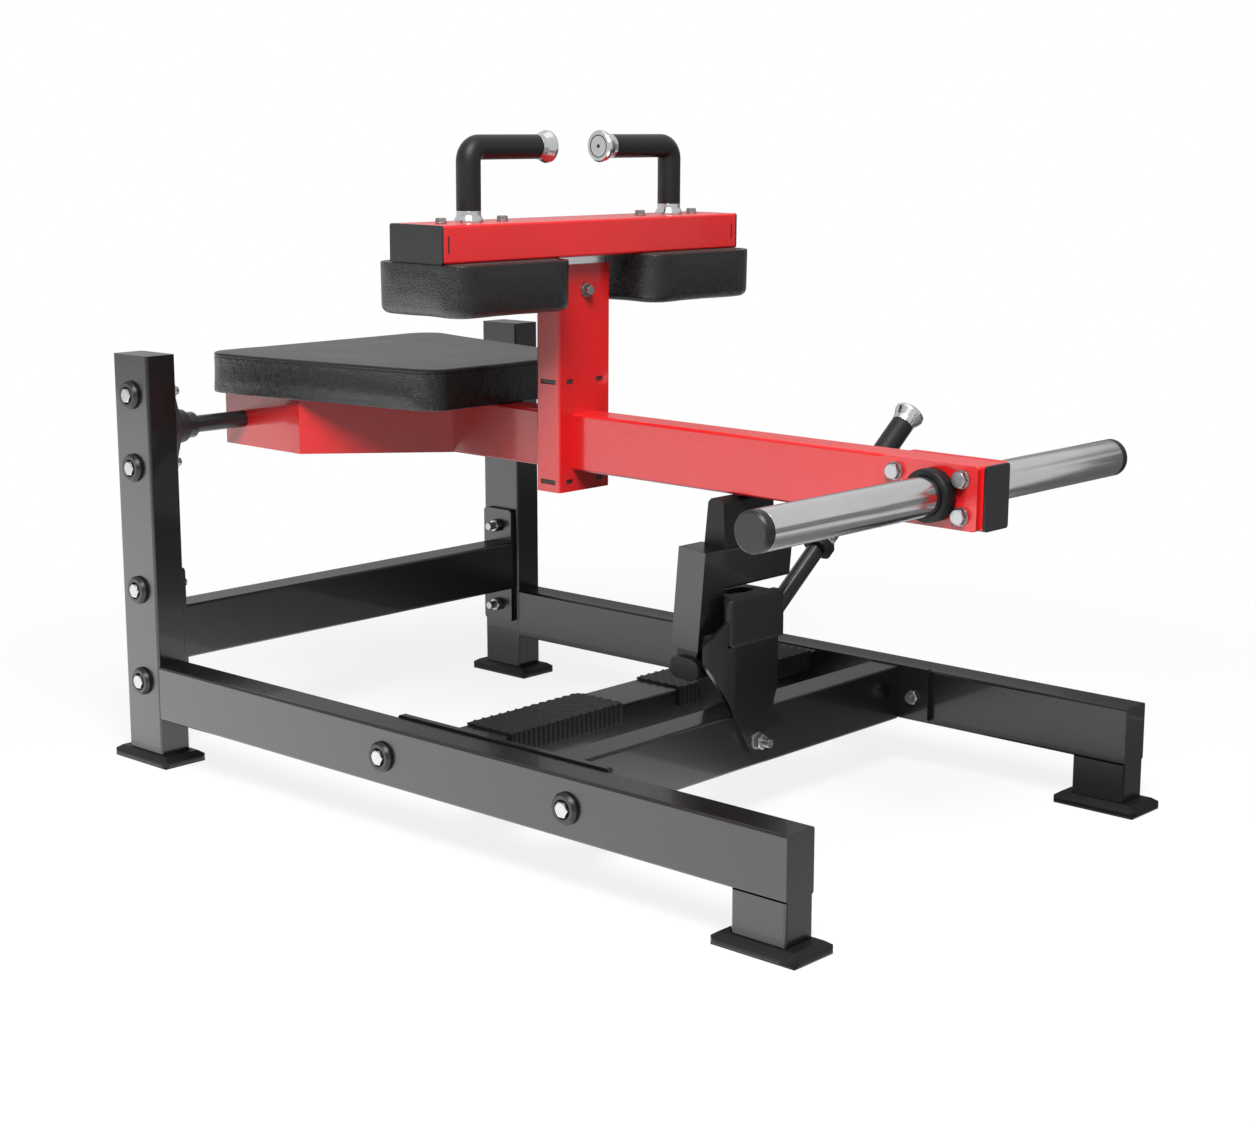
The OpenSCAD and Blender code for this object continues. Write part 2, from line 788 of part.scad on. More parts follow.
module post_shelves() {
    color("#1a1b1e") on_arm() translate([knee_x, 0, 0]) for (z = [shelf_low, shelf_high]) {
        translate([-knee_post_d / 2 + sheet + seat_gap, -knee_post_w / 2 + sheet + seat_gap, z])
            cube([knee_post_d - 2 * sheet - 2 * seat_gap, knee_post_w - 2 * sheet - 2 * seat_gap, shelf_t]);
        shelf_tabs(z, 0);
    }
}

// Bolt that presses on the sliding tube, with its washer on the front of the knee post
module clamp_bolt() {
    face = knee_post_d / 2;
    color("#c9ccd0") on_arm() translate([knee_x + face, 0, clamp_z]) rotate([0, 90, 0]) {
        difference() {
            cylinder(h = 3, d = small_bolt_d * 2.4);
            translate([0, 0, -over]) cylinder(h = 5, d = small_bolt_d - over);
        }
        translate([0, 0, 3]) hex_bolt(small_bolt_d, small_af, 9, 3 + sheet);
    }
}

module horn_plates() {
    color("#cb191f") on_arm() both_sides() difference() {
        along_y(tube_w / 2, horn_face) plate_xz(
            horn_plate_mid - horn_plate_l / 2, horn_plate_mid + horn_plate_l / 2,
            -tube_h / 2, tube_h / 2, 5);
        for (x = [-1, 1], z = [-1, 1])
            translate([horn_plate_mid + x * horn_bolt_x, 0, z * horn_bolt_z])
                bar_y(0, tube_w, bolt_d / 2 + bolt_gap);
    }
}

// Horn with its root turned down a little for the ring
module left_horn_shape() {
    translate([horn_x, 0, 0]) difference() {
        union() {
            bar_y(horn_face, horn_face + horn_root_l, horn_d / 2 - 0.6);
            bar_y(horn_face + horn_root_l, horn_end - horn_cap_l, horn_d / 2);
        }
        bar_y(horn_face - over, horn_end, horn_d / 2 - tube_wall);
    }
}

module right_weight_horn() { color("#d9dbde") on_arm() mirror([0, 1, 0]) left_horn_shape(); }
module left_weight_horn() { color("#d9dbde") on_arm() left_horn_shape(); }

// Plug in the open end of a horn, its lip as wide as the horn
module horn_end_caps() {
    color("#101113") on_arm() both_sides() translate([horn_x, horn_end - horn_cap_l, 0])
        rotate([-90, 0, 0]) {
            rotate_extrude() polygon([
                [0, 0], [horn_d / 2, 0], [horn_d / 2, horn_cap_l - 3], [horn_d / 2 - 3, horn_cap_l],
                [0, horn_cap_l]
            ]);
            translate([0, 0, -16]) cylinder(h = 16 + over, r = horn_d / 2 - tube_wall - seat_gap);
        }
}

module horn_rings() {
    color("#131416") on_arm() both_sides() translate([horn_x, horn_face, 0]) rotate([-90, 0, 0])
        rotate_extrude() translate([horn_d / 2 + seat_gap, 0]) polygon([
            [0, 0], [(ring_d - horn_d) / 2 - 2, 0], [(ring_d - horn_d) / 2, 3],
            [(ring_d - horn_d) / 2, ring_t - 3], [(ring_d - horn_d) / 2 - 2, ring_t], [0, ring_t]
        ]);
}

// Bolts right through both flange plates: a head and washer on the right, a nut on the left
module horn_bolts() {
    washer = 2;
    color("#d4d6d9") on_arm() for (x = [-1, 1], z = [-1, 1])
        translate([horn_plate_mid + x * horn_bolt_x, 0, z * horn_bolt_z]) {
            translate([0, -horn_face - washer, 0]) rotate([90, 0, 0]) hex_head(head_af, head_h);
            translate([0, horn_face + washer, 0]) rotate([-90, 0, 0]) hex_head(head_af, nut_h);
            bar_y(-horn_face - washer - over, horn_face + washer + nut_h + 4, bolt_d / 2);
            for (s = [-1, 1]) translate([0, s * (horn_face + washer / 2), 0])
                bar_y(-washer / 2, washer / 2, horn_washer_r);
        }
}

// Cushions: a stack of rings, each the outline drawn in by some amount at some height

// Points round a cushion's plan, drawn in by d: x0 and x1 are its ends, w0 and w1 its widths
// there, r its corner radius and bow the outward swell of its sides
function plan_ring(x0, x1, w0, w1, r, bow, d) =
    let (
        n = 6,
        m = 3,
        k = max(r - d, 1.5),
        back = [x0 + d + k, w0 / 2 - d - k],
        front = [x1 - d - k, w1 / 2 - d - k],
        turn = atan2(front[0] - back[0], back[1] - front[1]),
        corners = [
            [front[0], front[1], 0, turn], [back[0], back[1], turn, 180],
            [back[0], -back[1], 180, 360 - turn], [front[0], -front[1], 360 - turn, 360]
        ],
        arcs = [for (c = corners) [for (i = [0 : n]) let (a = c[2] + (c[3] - c[2]) * i / n)
            [c[0] + k * cos(a), c[1] + k * sin(a)]]]
    )
    [for (side = [0 : 3]) each concat(arcs[side], [for (j = [1 : m])
        let (
            p = arcs[side][n],
            q = arcs[(side + 1) % 4][0],
            t = j / (m + 1),
            a = corners[side][3]
        )
        p + (q - p) * t + bow * sin(180 * t) * [cos(a), sin(a)]])];

// One ring at height z, drawn in by d and shrunk towards the middle by s
function cushion_ring(plan, mid, d, s, z) =
    [for (p = plan_ring(plan[0], plan[1], plan[2], plan[3], plan[4], plan[5], d))
        [mid + (p[0] - mid) * s, p[1] * s, z]];

// Closed skin over rings listed from the bottom up, with a point in the middle of each end
module ring_skin(rings) {
    n = len(rings[0]);
    last = len(rings) - 1;
    function centre(ring) = [for (i = [0 : 2]) [for (p = ring) 1] * [for (p = ring) p[i]] / n];
    points = concat([for (ring = rings) each ring], [centre(rings[0])], [centre(rings[last])]);
    low = n * len(rings);
    sides = [for (i = [0 : last - 1], j = [0 : n - 1]) let (
        a = i * n + j, b = i * n + (j + 1) % n, c = b + n, d = a + n
    ) each [[a, d, c], [a, c, b]]];
    ends = [for (j = [0 : n - 1]) let (k = (j + 1) % n)
        each [[low, j, k], [low + 1, last * n + k, last * n + j]]];
    polyhedron(points, concat(sides, ends));
}

// Cushion on z = 0: edge height h, crown above it, edge radius e and sides drawn in by tuck
module cushion(x0, x1, w0, w1, r, bow, h, crown, e, tuck) {
    out = bow - tuck / 2;
    plan = [x0 + out, x1 - out, w0 - 2 * out, w1 - 2 * out, r, bow];
    mid = (x0 + x1) / 2;
    steps = 5;
    swell = 2;
    bottom = [for (i = [0 : 2]) let (a = 90 * i / 3)
        cushion_ring(plan, mid, tuck + 5 * (1 - sin(a)), 1, 5 * (1 - cos(a)))];
    wall = [for (i = [0 : steps]) let (t = i / steps)
        cushion_ring(plan, mid, tuck * (1 - t) + swell * (1 - sin(180 * t)), 1, 5 + (h - 5 - e) * t)];
    edge = [for (i = [1 : 5]) let (a = 90 * i / 5)
        cushion_ring(plan, mid, swell + e * (1 - cos(a)), 1, h - e + e * sin(a))];
    top = [for (s = [0.94, 0.84, 0.7, 0.52, 0.3])
        cushion_ring(plan, mid, swell + e, s, h + crown * (1 - s * s))];
    ring_skin(concat(bottom, wall, edge, top));
}

module seat_board() {
    inset = 20;
    x0 = box_back - seat_over;
    color("#1b1b1c") on_arm() translate([0, 0, beam_top]) linear_extrude(board_t) polygon([
        [x0 + inset, -seat_back_w / 2 + 2 * inset], [x0 + 2 * inset, -seat_back_w / 2 + inset],
        [x0 + seat_l - 2 * inset, -seat_front_w / 2 + inset],
        [x0 + seat_l - inset, -seat_front_w / 2 + 2 * inset],
        [x0 + seat_l - inset, seat_front_w / 2 - 2 * inset],
        [x0 + seat_l - 2 * inset, seat_front_w / 2 - inset],
        [x0 + 2 * inset, seat_back_w / 2 - inset], [x0 + inset, seat_back_w / 2 - 2 * inset]
    ]);
}

module seat_cushion() {
    x0 = box_back - seat_over;
    color("#161617") on_arm() translate([0, 0, beam_top + board_t])
        cushion(x0, x0 + seat_l, seat_back_w, seat_front_w, seat_r, 4, seat_h - board_t,
            seat_crown, 7, 3);
}

// Thigh pads on their sliding tube

module insert_tube() {
    color("#cfd2d5") on_arm() translate([knee_x, 0, insert_low]) linear_extrude(insert_top - insert_low)
        tube_section(insert_d, insert_w, sheet, sheet + 0.5);
}

module crossbar() {
    end = crossbar_l / 2 - sheet;
    color("#d21a20") on_arm() difference() {
        translate([knee_x, 0, insert_top + crossbar_h / 2]) along_y(-end, end)
            tube_section(crossbar_d, crossbar_h, sheet, sheet + 0.5);
        for (s = [-1, 1]) {
            for (y = pad_bolt_y) translate([knee_x, s * y, insert_top - over])
                cylinder(h = crossbar_h + 2 * over, r = small_bolt_d / 2 + bolt_gap);
            translate([knee_x, s * (end - 9), insert_top + crossbar_h / 2])
                cube([crossbar_d + 2 * over, 3, 22], center = true);
        }
    }
}

module crossbar_caps() {
    end = crossbar_l / 2;
    color("#26272a") on_arm() both_sides() translate([knee_x, 0, insert_top + crossbar_h / 2]) {
        along_y(end - sheet, end) round_rect(crossbar_d, crossbar_h, sheet + 0.5);
        along_y(end - 18, end - sheet) square(
            [crossbar_d - 2 * sheet - bolt_gap, crossbar_h - 2 * sheet - bolt_gap], center = true);
        translate([0, end - sheet - 9, 0])
            cube([crossbar_d - 2 * seat_gap, 3 - 2 * seat_gap, 22 - 2 * seat_gap], center = true);
    }
}

module pad_boards() {
    inset = 12;
    color("#1b1b1c") on_arm() both_sides() difference() {
        translate([knee_x, pad_mid, insert_top - board_t]) linear_extrude(board_t)
            round_rect(pad_d - 2 * inset, pad_l - 2 * inset, pad_r - inset);
        for (y = pad_bolt_y) translate([knee_x, y, 0])
            cylinder(h = 2 * insert_top, r = small_bolt_d / 2 + bolt_gap);
    }
}

// A pad is a cushion turned over, so that its crown faces the thigh
module left_pad_shape() {
    translate([knee_x, pad_mid, insert_top - board_t]) rotate([0, 180, 90])
        cushion(-pad_l / 2, pad_l / 2, pad_d, pad_d, pad_r, 3, pad_h - board_t, 4, 12, 2);
}

module right_thigh_pad() { color("#141415") on_arm() mirror([0, 1, 0]) left_pad_shape(); }
module left_thigh_pad() { color("#141415") on_arm() left_pad_shape(); }

module pad_bolts() {
    washer = 1.6;
    color("#cfd1d4") on_arm() both_sides() for (y = pad_bolt_y)
        translate([knee_x, y, crossbar_top + washer]) {
            hex_bolt(small_bolt_d, small_af, 5.5, crossbar_h + washer + board_t);
            translate([0, 0, -washer]) cylinder(h = washer, d = small_bolt_d * 2);
        }
}

// Handle from the crossbar up, round one bend and in towards the mid plane, as a bar of radius r
module handle_path(r, z0, y_end) {
    translate([knee_x, handle_y, z0]) cylinder(h = grip_z - bend_r - z0, r = r);
    translate([knee_x, handle_y - bend_r, grip_z - bend_r]) rotate([90, 0, 90])
        rotate_extrude(angle = 90) translate([bend_r, 0]) circle(r);
    translate([knee_x, 0, grip_z]) bar_y(y_end, handle_y - bend_r, r);
}

module left_handle_shape() {
    handle_path(bar_d / 2, crossbar_top, grip_end - cap_l / 2);
}

module right_handle() { color("#3a3b3e") on_arm() mirror([0, 1, 0]) left_handle_shape(); }
module left_handle() { color("#3a3b3e") on_arm() left_handle_shape(); }

module handle_grips() {
    color("#18191b") on_arm() both_sides() difference() {
        handle_path(grip_d / 2, crossbar_top + 15, grip_end);
        handle_path(bar_d / 2, crossbar_top, grip_end - cap_l);
    }
}

// Flared chrome collar at the foot of each handle
module handle_collars() {
    color("#d9dbde") on_arm() both_sides() translate([knee_x, handle_y, crossbar_top])
        rotate_extrude() polygon([
            [bar_d / 2, 0], [bar_d / 2 + 7, 0], [bar_d / 2 + 7, 3], [grip_d / 2, 9], [grip_d / 2, 15],
            [bar_d / 2, 15]
        ]);
}

// Chrome cap of a grip, along +Z from the end of the rubber, with a flared rim
module grip_cap(l) {
    rim = grip_d / 2 + 5.5;
    difference() {
        rotate_extrude() polygon([
            [0, 0], [grip_d / 2, 0], [grip_d / 2 + 1, l * 0.3], [rim, l * 0.75], [rim, l - 2],
            [rim - 2, l], [0, l]
        ]);
        translate([0, 0, -over]) cylinder(h = l / 2 + over, d = bar_d);
    }
}

module handle_end_caps() {
    color("#d9dbde") on_arm() both_sides() translate([knee_x, grip_end, grip_z])
        rotate([90, 0, 0]) grip_cap(cap_l);
}

// Catch and its release lever

module on_catch() {
    translate([pivot_x, 0, catch_z]) rotate([0, catch_lean, 0]) children();
}

module catch_shaft() {
    color("#8d9095") on_catch() bar_y(-hub_out + sheet, collar_out + 3, shaft_d / 2);
}

// Square tube on a neck, set back from its face, over an oblong foot that holds the shaft
module catch_upright() {
    color("#202125") on_catch() difference() {
        union() {
            translate([0, -upright_y, upright_low]) linear_extrude(catch_top - upright_low)
                square([catch_tube, catch_tube], center = true);
            translate([-catch_neck_w / 2, -hub_out + catch_neck_in, 0])
                cube([catch_neck_w, hub_out - catch_neck_in - hub_in, upright_low + over]);
            along_y(-hub_out, -hub_in) translate(catch_foot_mid)
                round_rect(catch_foot_l, catch_foot_h, catch_foot_r);
        }
        translate([0, -upright_y, upright_low + sheet])
            linear_extrude(catch_top - upright_low - 2 * sheet)
            square([catch_tube - 2 * sheet, catch_tube - 2 * sheet], center = true);
        bar_y(-hub_out + sheet, -hub_in + over, shaft_d / 2);
    }
}

module catch_crossarm() {
    half = catch_arm_l / 2;
    color("#202125") on_catch() translate([0, 0, catch_top - catch_arm_h / 2])
        along_y(-hub_in, half - sheet) tube_section(catch_tube, catch_arm_h, sheet, sheet + 0.5);
}

module crossarm_cap() {
    half = catch_arm_l / 2;
    color("#1a1b1e") on_catch() translate([0, 0, catch_top - catch_arm_h / 2]) {
        along_y(half - sheet, half) round_rect(catch_tube, catch_arm_h, sheet + 0.5);
        along_y(half - 14, half - sheet) square(
            [catch_tube - 2 * sheet - bolt_gap, catch_arm_h - 2 * sheet - bolt_gap], center = true);
    }
}

// Rubber block on the crossarm, level on top and slanting at the back, with soft top edges
module catch_block() {
    color("#141517") translate([pivot_x, 0, catch_z]) along_y(-block_w / 2, block_w / 2) polygon([
        leaned([-13, catch_top]), leaned([catch_tube / 2, catch_top]),
        [block_front, block_top - block_chamfer], [block_front - block_chamfer, block_top],
        [block_back + block_chamfer, block_top], [block_back, block_top - block_chamfer]
    ]);
}

// Places its children along the lever, with +Z pointing from its foot to its grip
module on_lever(s) {
    on_catch() translate([0, lever_start[0], lever_start[1]]) rotate([-lever_angle, 0, 0])
        translate([0, 0, s]) children();
}

module lever_bar() {
    color("#1d1e20") difference() {
        union() {
            on_lever(0) cylinder(h = lever_l + cap_l / 2 - over, d = bar_d);
            on_catch() bar_y(hub_in, collar_out, hub_r);
        }
        on_catch() bar_y(0, 2 * collar_out, shaft_d / 2);
        on_catch() bar_y(0, hub_in, 2 * hub_r);
    }
}

module lever_grip() {
    start = lever_ring_at + 20;
    color("#18191b") on_lever(start) difference() {
        cylinder(h = lever_l - start, d = grip_d);
        translate([0, 0, -over]) cylinder(h = lever_l, d = bar_d);
    }
}

module lever_ring() {
    color("#131416") on_lever(lever_ring_at - 6) difference() {
        cylinder(h = 12, d = 44);
        translate([0, 0, -over]) cylinder(h = 14, d = bar_d);
    }
}

// Chrome sleeve below the lever's grip and the chrome cap at its end
module lever_chrome() {
    color("#d9dbde") {
        on_lever(lever_ring_at + 6) rotate_extrude() polygon([
            [bar_d / 2, 0], [bar_d / 2 + 7, 0], [bar_d / 2 + 7, 4], [grip_d / 2, 9], [grip_d / 2, 14],
            [bar_d / 2, 14]
        ]);
        on_lever(lever_l) grip_cap(cap_l);
    }
}

right_rear_post();
left_rear_post();
post_caps();
right_side_rail();
left_side_rail();
rail_end_caps();
front_legs();
rubber_feet();
rear_crossbeam();
rear_end_plates();
tread_beam();
front_crossbeam();
platform_plates();
right_tread();
left_tread();
catch_bracket();
beam_bumper();
catch_stop_pad();
bracket_bolt();
bearing_housings();
frame_bolts();
frame_nuts();
cup_washers();
axle();
axle_collars();
hub_box();
main_beam();
beam_end_cap();
knee_post();
post_shelves();
clamp_bolt();
horn_plates();
right_weight_horn();
left_weight_horn();
horn_end_caps();
horn_rings();
horn_bolts();
seat_board();
seat_cushion();
insert_tube();
crossbar();
crossbar_caps();
pad_boards();
right_thigh_pad();
left_thigh_pad();
pad_bolts();
right_handle();
left_handle();
handle_grips();
handle_collars();
handle_end_caps();
catch_shaft();
catch_upright();
catch_crossarm();
crossarm_cap();
catch_block();
lever_bar();
lever_grip();
lever_ring();
lever_chrome();
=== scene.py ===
import json
import math

import bpy
import numpy as np
from mathutils import Matrix, Vector
from mathutils.kdtree import KDTree


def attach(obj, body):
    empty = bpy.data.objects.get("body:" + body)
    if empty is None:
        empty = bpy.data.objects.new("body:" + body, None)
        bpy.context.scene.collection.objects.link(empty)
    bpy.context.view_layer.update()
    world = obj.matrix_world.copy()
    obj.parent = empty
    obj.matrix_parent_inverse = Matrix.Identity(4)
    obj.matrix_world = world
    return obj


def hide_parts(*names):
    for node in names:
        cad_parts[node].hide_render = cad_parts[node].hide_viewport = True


bl_info = {
    "name": "Seated calf raise machine",
    "version": (1, 0, 0),
    "blender": (4, 5, 0),
    "location": "3D View > Sidebar > Calf raise",
    "description": "Finishes and soft pieces for a plate-loaded seated calf raise machine",
    "category": "Object",
}

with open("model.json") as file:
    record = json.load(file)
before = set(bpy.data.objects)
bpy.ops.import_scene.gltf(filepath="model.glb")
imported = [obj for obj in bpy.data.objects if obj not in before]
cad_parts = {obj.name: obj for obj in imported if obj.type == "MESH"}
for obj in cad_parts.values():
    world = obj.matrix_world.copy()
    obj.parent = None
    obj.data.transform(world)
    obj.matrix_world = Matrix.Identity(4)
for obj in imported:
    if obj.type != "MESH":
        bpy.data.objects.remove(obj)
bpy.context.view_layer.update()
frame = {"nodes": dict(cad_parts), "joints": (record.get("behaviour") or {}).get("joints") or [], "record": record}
NODES = frame["nodes"]
JOINTS = {joint["name"]: joint for joint in frame["joints"]}

# Places of the swing arm, in metres

# The arm's own frame stands on its axle and is laid down by its droop at rest.
AXLE = Vector(JOINTS["arm_pivot"]["pos_m"])
DROOP = math.radians(0.46)
ARM = Matrix.Translation(AXLE) @ Matrix.Rotation(DROOP, 4, "Y")

# In the arm's frame: the knee post's middle, the beam's top, the underside of the pads'
# boards, the handles' grips, the outer face of their end caps, and the pads' middles.
KNEE_X = 0.499
BEAM_TOP = 0.040
PAD_TOP = 0.259
GRIP_Z = 0.4065
CAP_FACE_Y = 0.0498
PAD_Y = 0.1885

# A cover lies this far from the board that carries it.
COVER_GAP = 0.0003

# Finishes by name, filled by the finishes operator
MATERIALS = {}


# Settings

class CalfRaiseColours(bpy.types.PropertyGroup):
    frame_black: bpy.props.FloatVectorProperty(
        name="Frame paint", description="Powder coat of the base frame and the catch",
        subtype="COLOR", size=3, min=0, max=1, default=(0.0045, 0.0045, 0.0048))
    arm_red: bpy.props.FloatVectorProperty(
        name="Arm paint", description="Gloss paint of the swing arm and the crossbar",
        subtype="COLOR", size=3, min=0, max=1, default=(0.62, 0.010, 0.012))
    chrome: bpy.props.FloatVectorProperty(
        name="Chrome", description="Plating of the horns, the sliding tube, collars and caps",
        subtype="COLOR", size=3, min=0, max=1, default=(0.48, 0.48, 0.49))
    zinc: bpy.props.FloatVectorProperty(
        name="Zinc", description="Plating of the bolts and nuts",
        subtype="COLOR", size=3, min=0, max=1, default=(0.24, 0.243, 0.247))
    leather: bpy.props.FloatVectorProperty(
        name="Leather", description="Cover of the seat and the thigh pads",
        subtype="COLOR", size=3, min=0, max=1, default=(0.007, 0.007, 0.0075))
    rubber: bpy.props.FloatVectorProperty(
        name="Rubber", description="Feet, treads, bumper, block and rings",
        subtype="COLOR", size=3, min=0, max=1, default=(0.005, 0.005, 0.0054))


class CalfRaiseSizes(bpy.types.PropertyGroup):
    voxel: bpy.props.FloatProperty(
        name="Cushion voxel", description="Mesh size of the copy that swells",
        subtype="DISTANCE", unit="LENGTH", min=0.003, max=0.01, default=0.005)
    pressure: bpy.props.FloatProperty(
        name="Cushion pressure", description="Pressure of the foam under the cover",
        min=0, max=20, default=4)
    seat_swell: bpy.props.FloatProperty(
        name="Seat swell", description="The furthest that the seat's cover may move",
        subtype="DISTANCE", unit="LENGTH", min=0, max=0.03, default=0.0015)
    pad_swell: bpy.props.FloatProperty(
        name="Pad swell", description="The furthest that a thigh pad's cover may move",
        subtype="DISTANCE", unit="LENGTH", min=0, max=0.03, default=0.0015)
    leather_grain: bpy.props.FloatProperty(
        name="Leather grain", description="Size of a pebble of the leather",
        subtype="DISTANCE", unit="LENGTH", min=0.0005, max=0.01, default=0.0035)
    edge_radius: bpy.props.FloatProperty(
        name="Edge radius", description="Rounding of the painted edges in the light",
        subtype="DISTANCE", unit="LENGTH", min=0, max=0.005, default=0.0004)


# Shader nodes that the groups, the materials and the stage share

def feed(tree, socket, value):
    """Links an output socket to an input socket, or sets the input to a constant."""
    if isinstance(value, bpy.types.NodeSocket):
        tree.links.new(value, socket)
    else:
        socket.default_value = value


def noise_node(tree, vector, scale, detail=2.0, roughness=0.5):
    """Noise texture at that scale on that vector socket."""
    node = tree.nodes.new("ShaderNodeTexNoise")
    node.inputs["Detail"].default_value = detail
    node.inputs["Roughness"].default_value = roughness
    feed(tree, node.inputs["Vector"], vector)
    feed(tree, node.inputs["Scale"], scale)
    return node


def drawn_out_noise(tree, vector, scales, detail, roughness=0.5):
    """Noise value whose scale differs along X, Y and Z."""
    stretch = tree.nodes.new("ShaderNodeMapping")
    stretch.inputs["Scale"].default_value = scales
    feed(tree, stretch.inputs["Vector"], vector)
    return noise_node(tree, stretch.outputs["Vector"], 1.0, detail, roughness).outputs["Fac"]


def bump_normal(tree, height, distance, normal=None):
    """Normal that a height from 0 to 1 times the distance, in metres, gives to another."""
    node = tree.nodes.new("ShaderNodeBump")
    node.inputs["Strength"].default_value = 1.0
    feed(tree, node.inputs["Height"], height)
    feed(tree, node.inputs["Distance"], distance)
    if normal is not None:
        feed(tree, node.inputs["Normal"], normal)
    return node.outputs["Normal"]


def rounded_normal(tree, radius):
    """Normal with the edges rounded by that radius in the light."""
    node = tree.nodes.new("ShaderNodeBevel")
    node.samples = 4
    feed(tree, node.inputs["Radius"], radius)
    return node.outputs["Normal"]


def math_value(tree, operation, *values):
    """Result of a Math node on sockets and numbers."""
    node = tree.nodes.new("ShaderNodeMath")
    node.operation = operation
    for socket, value in zip(node.inputs, values):
        feed(tree, socket, value)
    return node.outputs["Value"]


def mapped(tree, value, at, to=(0.0, 1.0), smooth=False):
    """Maps a value socket so that the two numbers of at give the two numbers of to."""
    node = tree.nodes.new("ShaderNodeMapRange")
    node.interpolation_type = "SMOOTHSTEP" if smooth else "LINEAR"
    node.inputs["From Min"].default_value, node.inputs["From Max"].default_value = at
    node.inputs["To Min"].default_value, node.inputs["To Max"].default_value = to
    feed(tree, node.inputs["Value"], value)
    return node.outputs["Result"]


def blend_colours(tree, factor, first, second):
    """Mixes two colours by a factor socket."""
    node = tree.nodes.new("ShaderNodeMix")
    node.data_type = "RGBA"
    node.inputs["A"].default_value = (*first, 1)
    node.inputs["B"].default_value = (*second, 1)
    feed(tree, node.inputs["Factor"], factor)
    return node.outputs["Result"]


def white_shader(tree, kind, strength):
    """Output of an Emission or Background node that shines white."""
    node = tree.nodes.new(kind)
    node.inputs["Color"].default_value = (1, 1, 1, 1)
    node.inputs["Strength"].default_value = strength
    return node.outputs[0]


def mix_shaders(tree, factor, first, second):
    """First shader at factor 0, second at 1."""
    node = tree.nodes.new("ShaderNodeMixShader")
    feed(tree, node.inputs["Fac"], factor)
    feed(tree, node.inputs[1], first)
    feed(tree, node.inputs[2], second)
    return node.outputs["Shader"]


# Node groups that several materials share

def new_group(name, inputs, outputs):
    """Empty shader node group: itself, its input node, its output node and its coordinates."""
    group = bpy.data.node_groups.new(name, "ShaderNodeTree")
    for label, default in inputs:
        socket = group.interface.new_socket(name=label, in_out="INPUT",
                                            socket_type="NodeSocketFloat")
        socket.default_value = default
    for label in outputs:
        kind = "NodeSocketVector" if label == "Normal" else "NodeSocketFloat"
        group.interface.new_socket(name=label, in_out="OUTPUT", socket_type=kind)
    place = group.nodes.new("ShaderNodeTexCoord").outputs["Object"]
    return (group, group.nodes.new("NodeGroupInput").outputs,
            group.nodes.new("NodeGroupOutput").inputs, place)


def surface_group():
    """Rounded edges in the light, with a fine grain and a slow unevenness over them."""
    group, given, out, place = new_group(
        "coated_surface",
        [("Edge Radius", 0.001), ("Grain Scale", 900.0), ("Grain Height", 0.0002),
         ("Cloud Scale", 6.0)],
        ["Normal", "Grain", "Cloud"])
    edge = rounded_normal(group, given["Edge Radius"])
    grain = noise_node(group, place, given["Grain Scale"], 2.0, 0.6).outputs["Fac"]
    cloud = noise_node(group, place, given["Cloud Scale"], 3.0, 0.55).outputs["Fac"]
    feed(group, out["Normal"], bump_normal(group, grain, given["Grain Height"], edge))
    feed(group, out["Grain"], grain)
    feed(group, out["Cloud"], cloud)
    return group


def pebble_group():
    """Pebbled leather with soft folds in patches.

    The pebbles are round cells with creases between them, whose borders wander, and finer
    grain lies over them. The folds are a noise drawn out along Z, and the piece's side
    attribute says how high they are at each place.
    """
    group, given, out, place = new_group(
        "pebbled_leather", [("Cells", 450.0), ("Height", 0.0004)], ["Normal", "Crease", "Cloud"])
    wander_scale, wander_reach = 160.0, 0.003
    crease_width, fine_scale, fine_share = 0.32, 2400.0, 0.25
    fold_scales, fold_height = (80.0, 80.0, 48.0), 0.0018
    patch_scale, patch_edges = 7.0, (0.42, 0.62)
    cloud_scale = 14.0

    wander = noise_node(group, place, wander_scale)
    shift = group.nodes.new("ShaderNodeVectorMath")
    shift.operation = "MULTIPLY_ADD"
    shift.inputs[1].default_value = (wander_reach, wander_reach, wander_reach)
    feed(group, shift.inputs[0], wander.outputs["Color"])
    feed(group, shift.inputs[2], place)
    cells = group.nodes.new("ShaderNodeTexVoronoi")
    cells.feature = "DISTANCE_TO_EDGE"
    feed(group, cells.inputs["Vector"], shift.outputs["Vector"])
    feed(group, cells.inputs["Scale"], given["Cells"])
    dome = mapped(group, cells.outputs["Distance"], (0.0, crease_width), smooth=True)
    fine = noise_node(group, place, fine_scale).outputs["Fac"]
    pebbles = math_value(group, "MULTIPLY_ADD", fine, fine_share, dome)

    folds = drawn_out_noise(group, place, fold_scales, 3.0, 0.6)
    patch = noise_node(group, place, patch_scale, 1.0).outputs["Fac"]
    side = group.nodes.new("ShaderNodeAttribute")
    side.attribute_name = "side"
    masked = math_value(group, "MULTIPLY", side.outputs["Fac"],
                        mapped(group, patch, patch_edges, smooth=True))
    folded = bump_normal(group, math_value(group, "MULTIPLY", folds, masked), fold_height)
    feed(group, out["Normal"], bump_normal(group, pebbles, given["Height"], folded))
    # The crease output is the mask of the painted shade in the leather's creases.
    feed(group, out["Crease"], dome)
    feed(group, out["Cloud"], noise_node(group, place, cloud_scale, 3.0).outputs["Fac"])
    return group


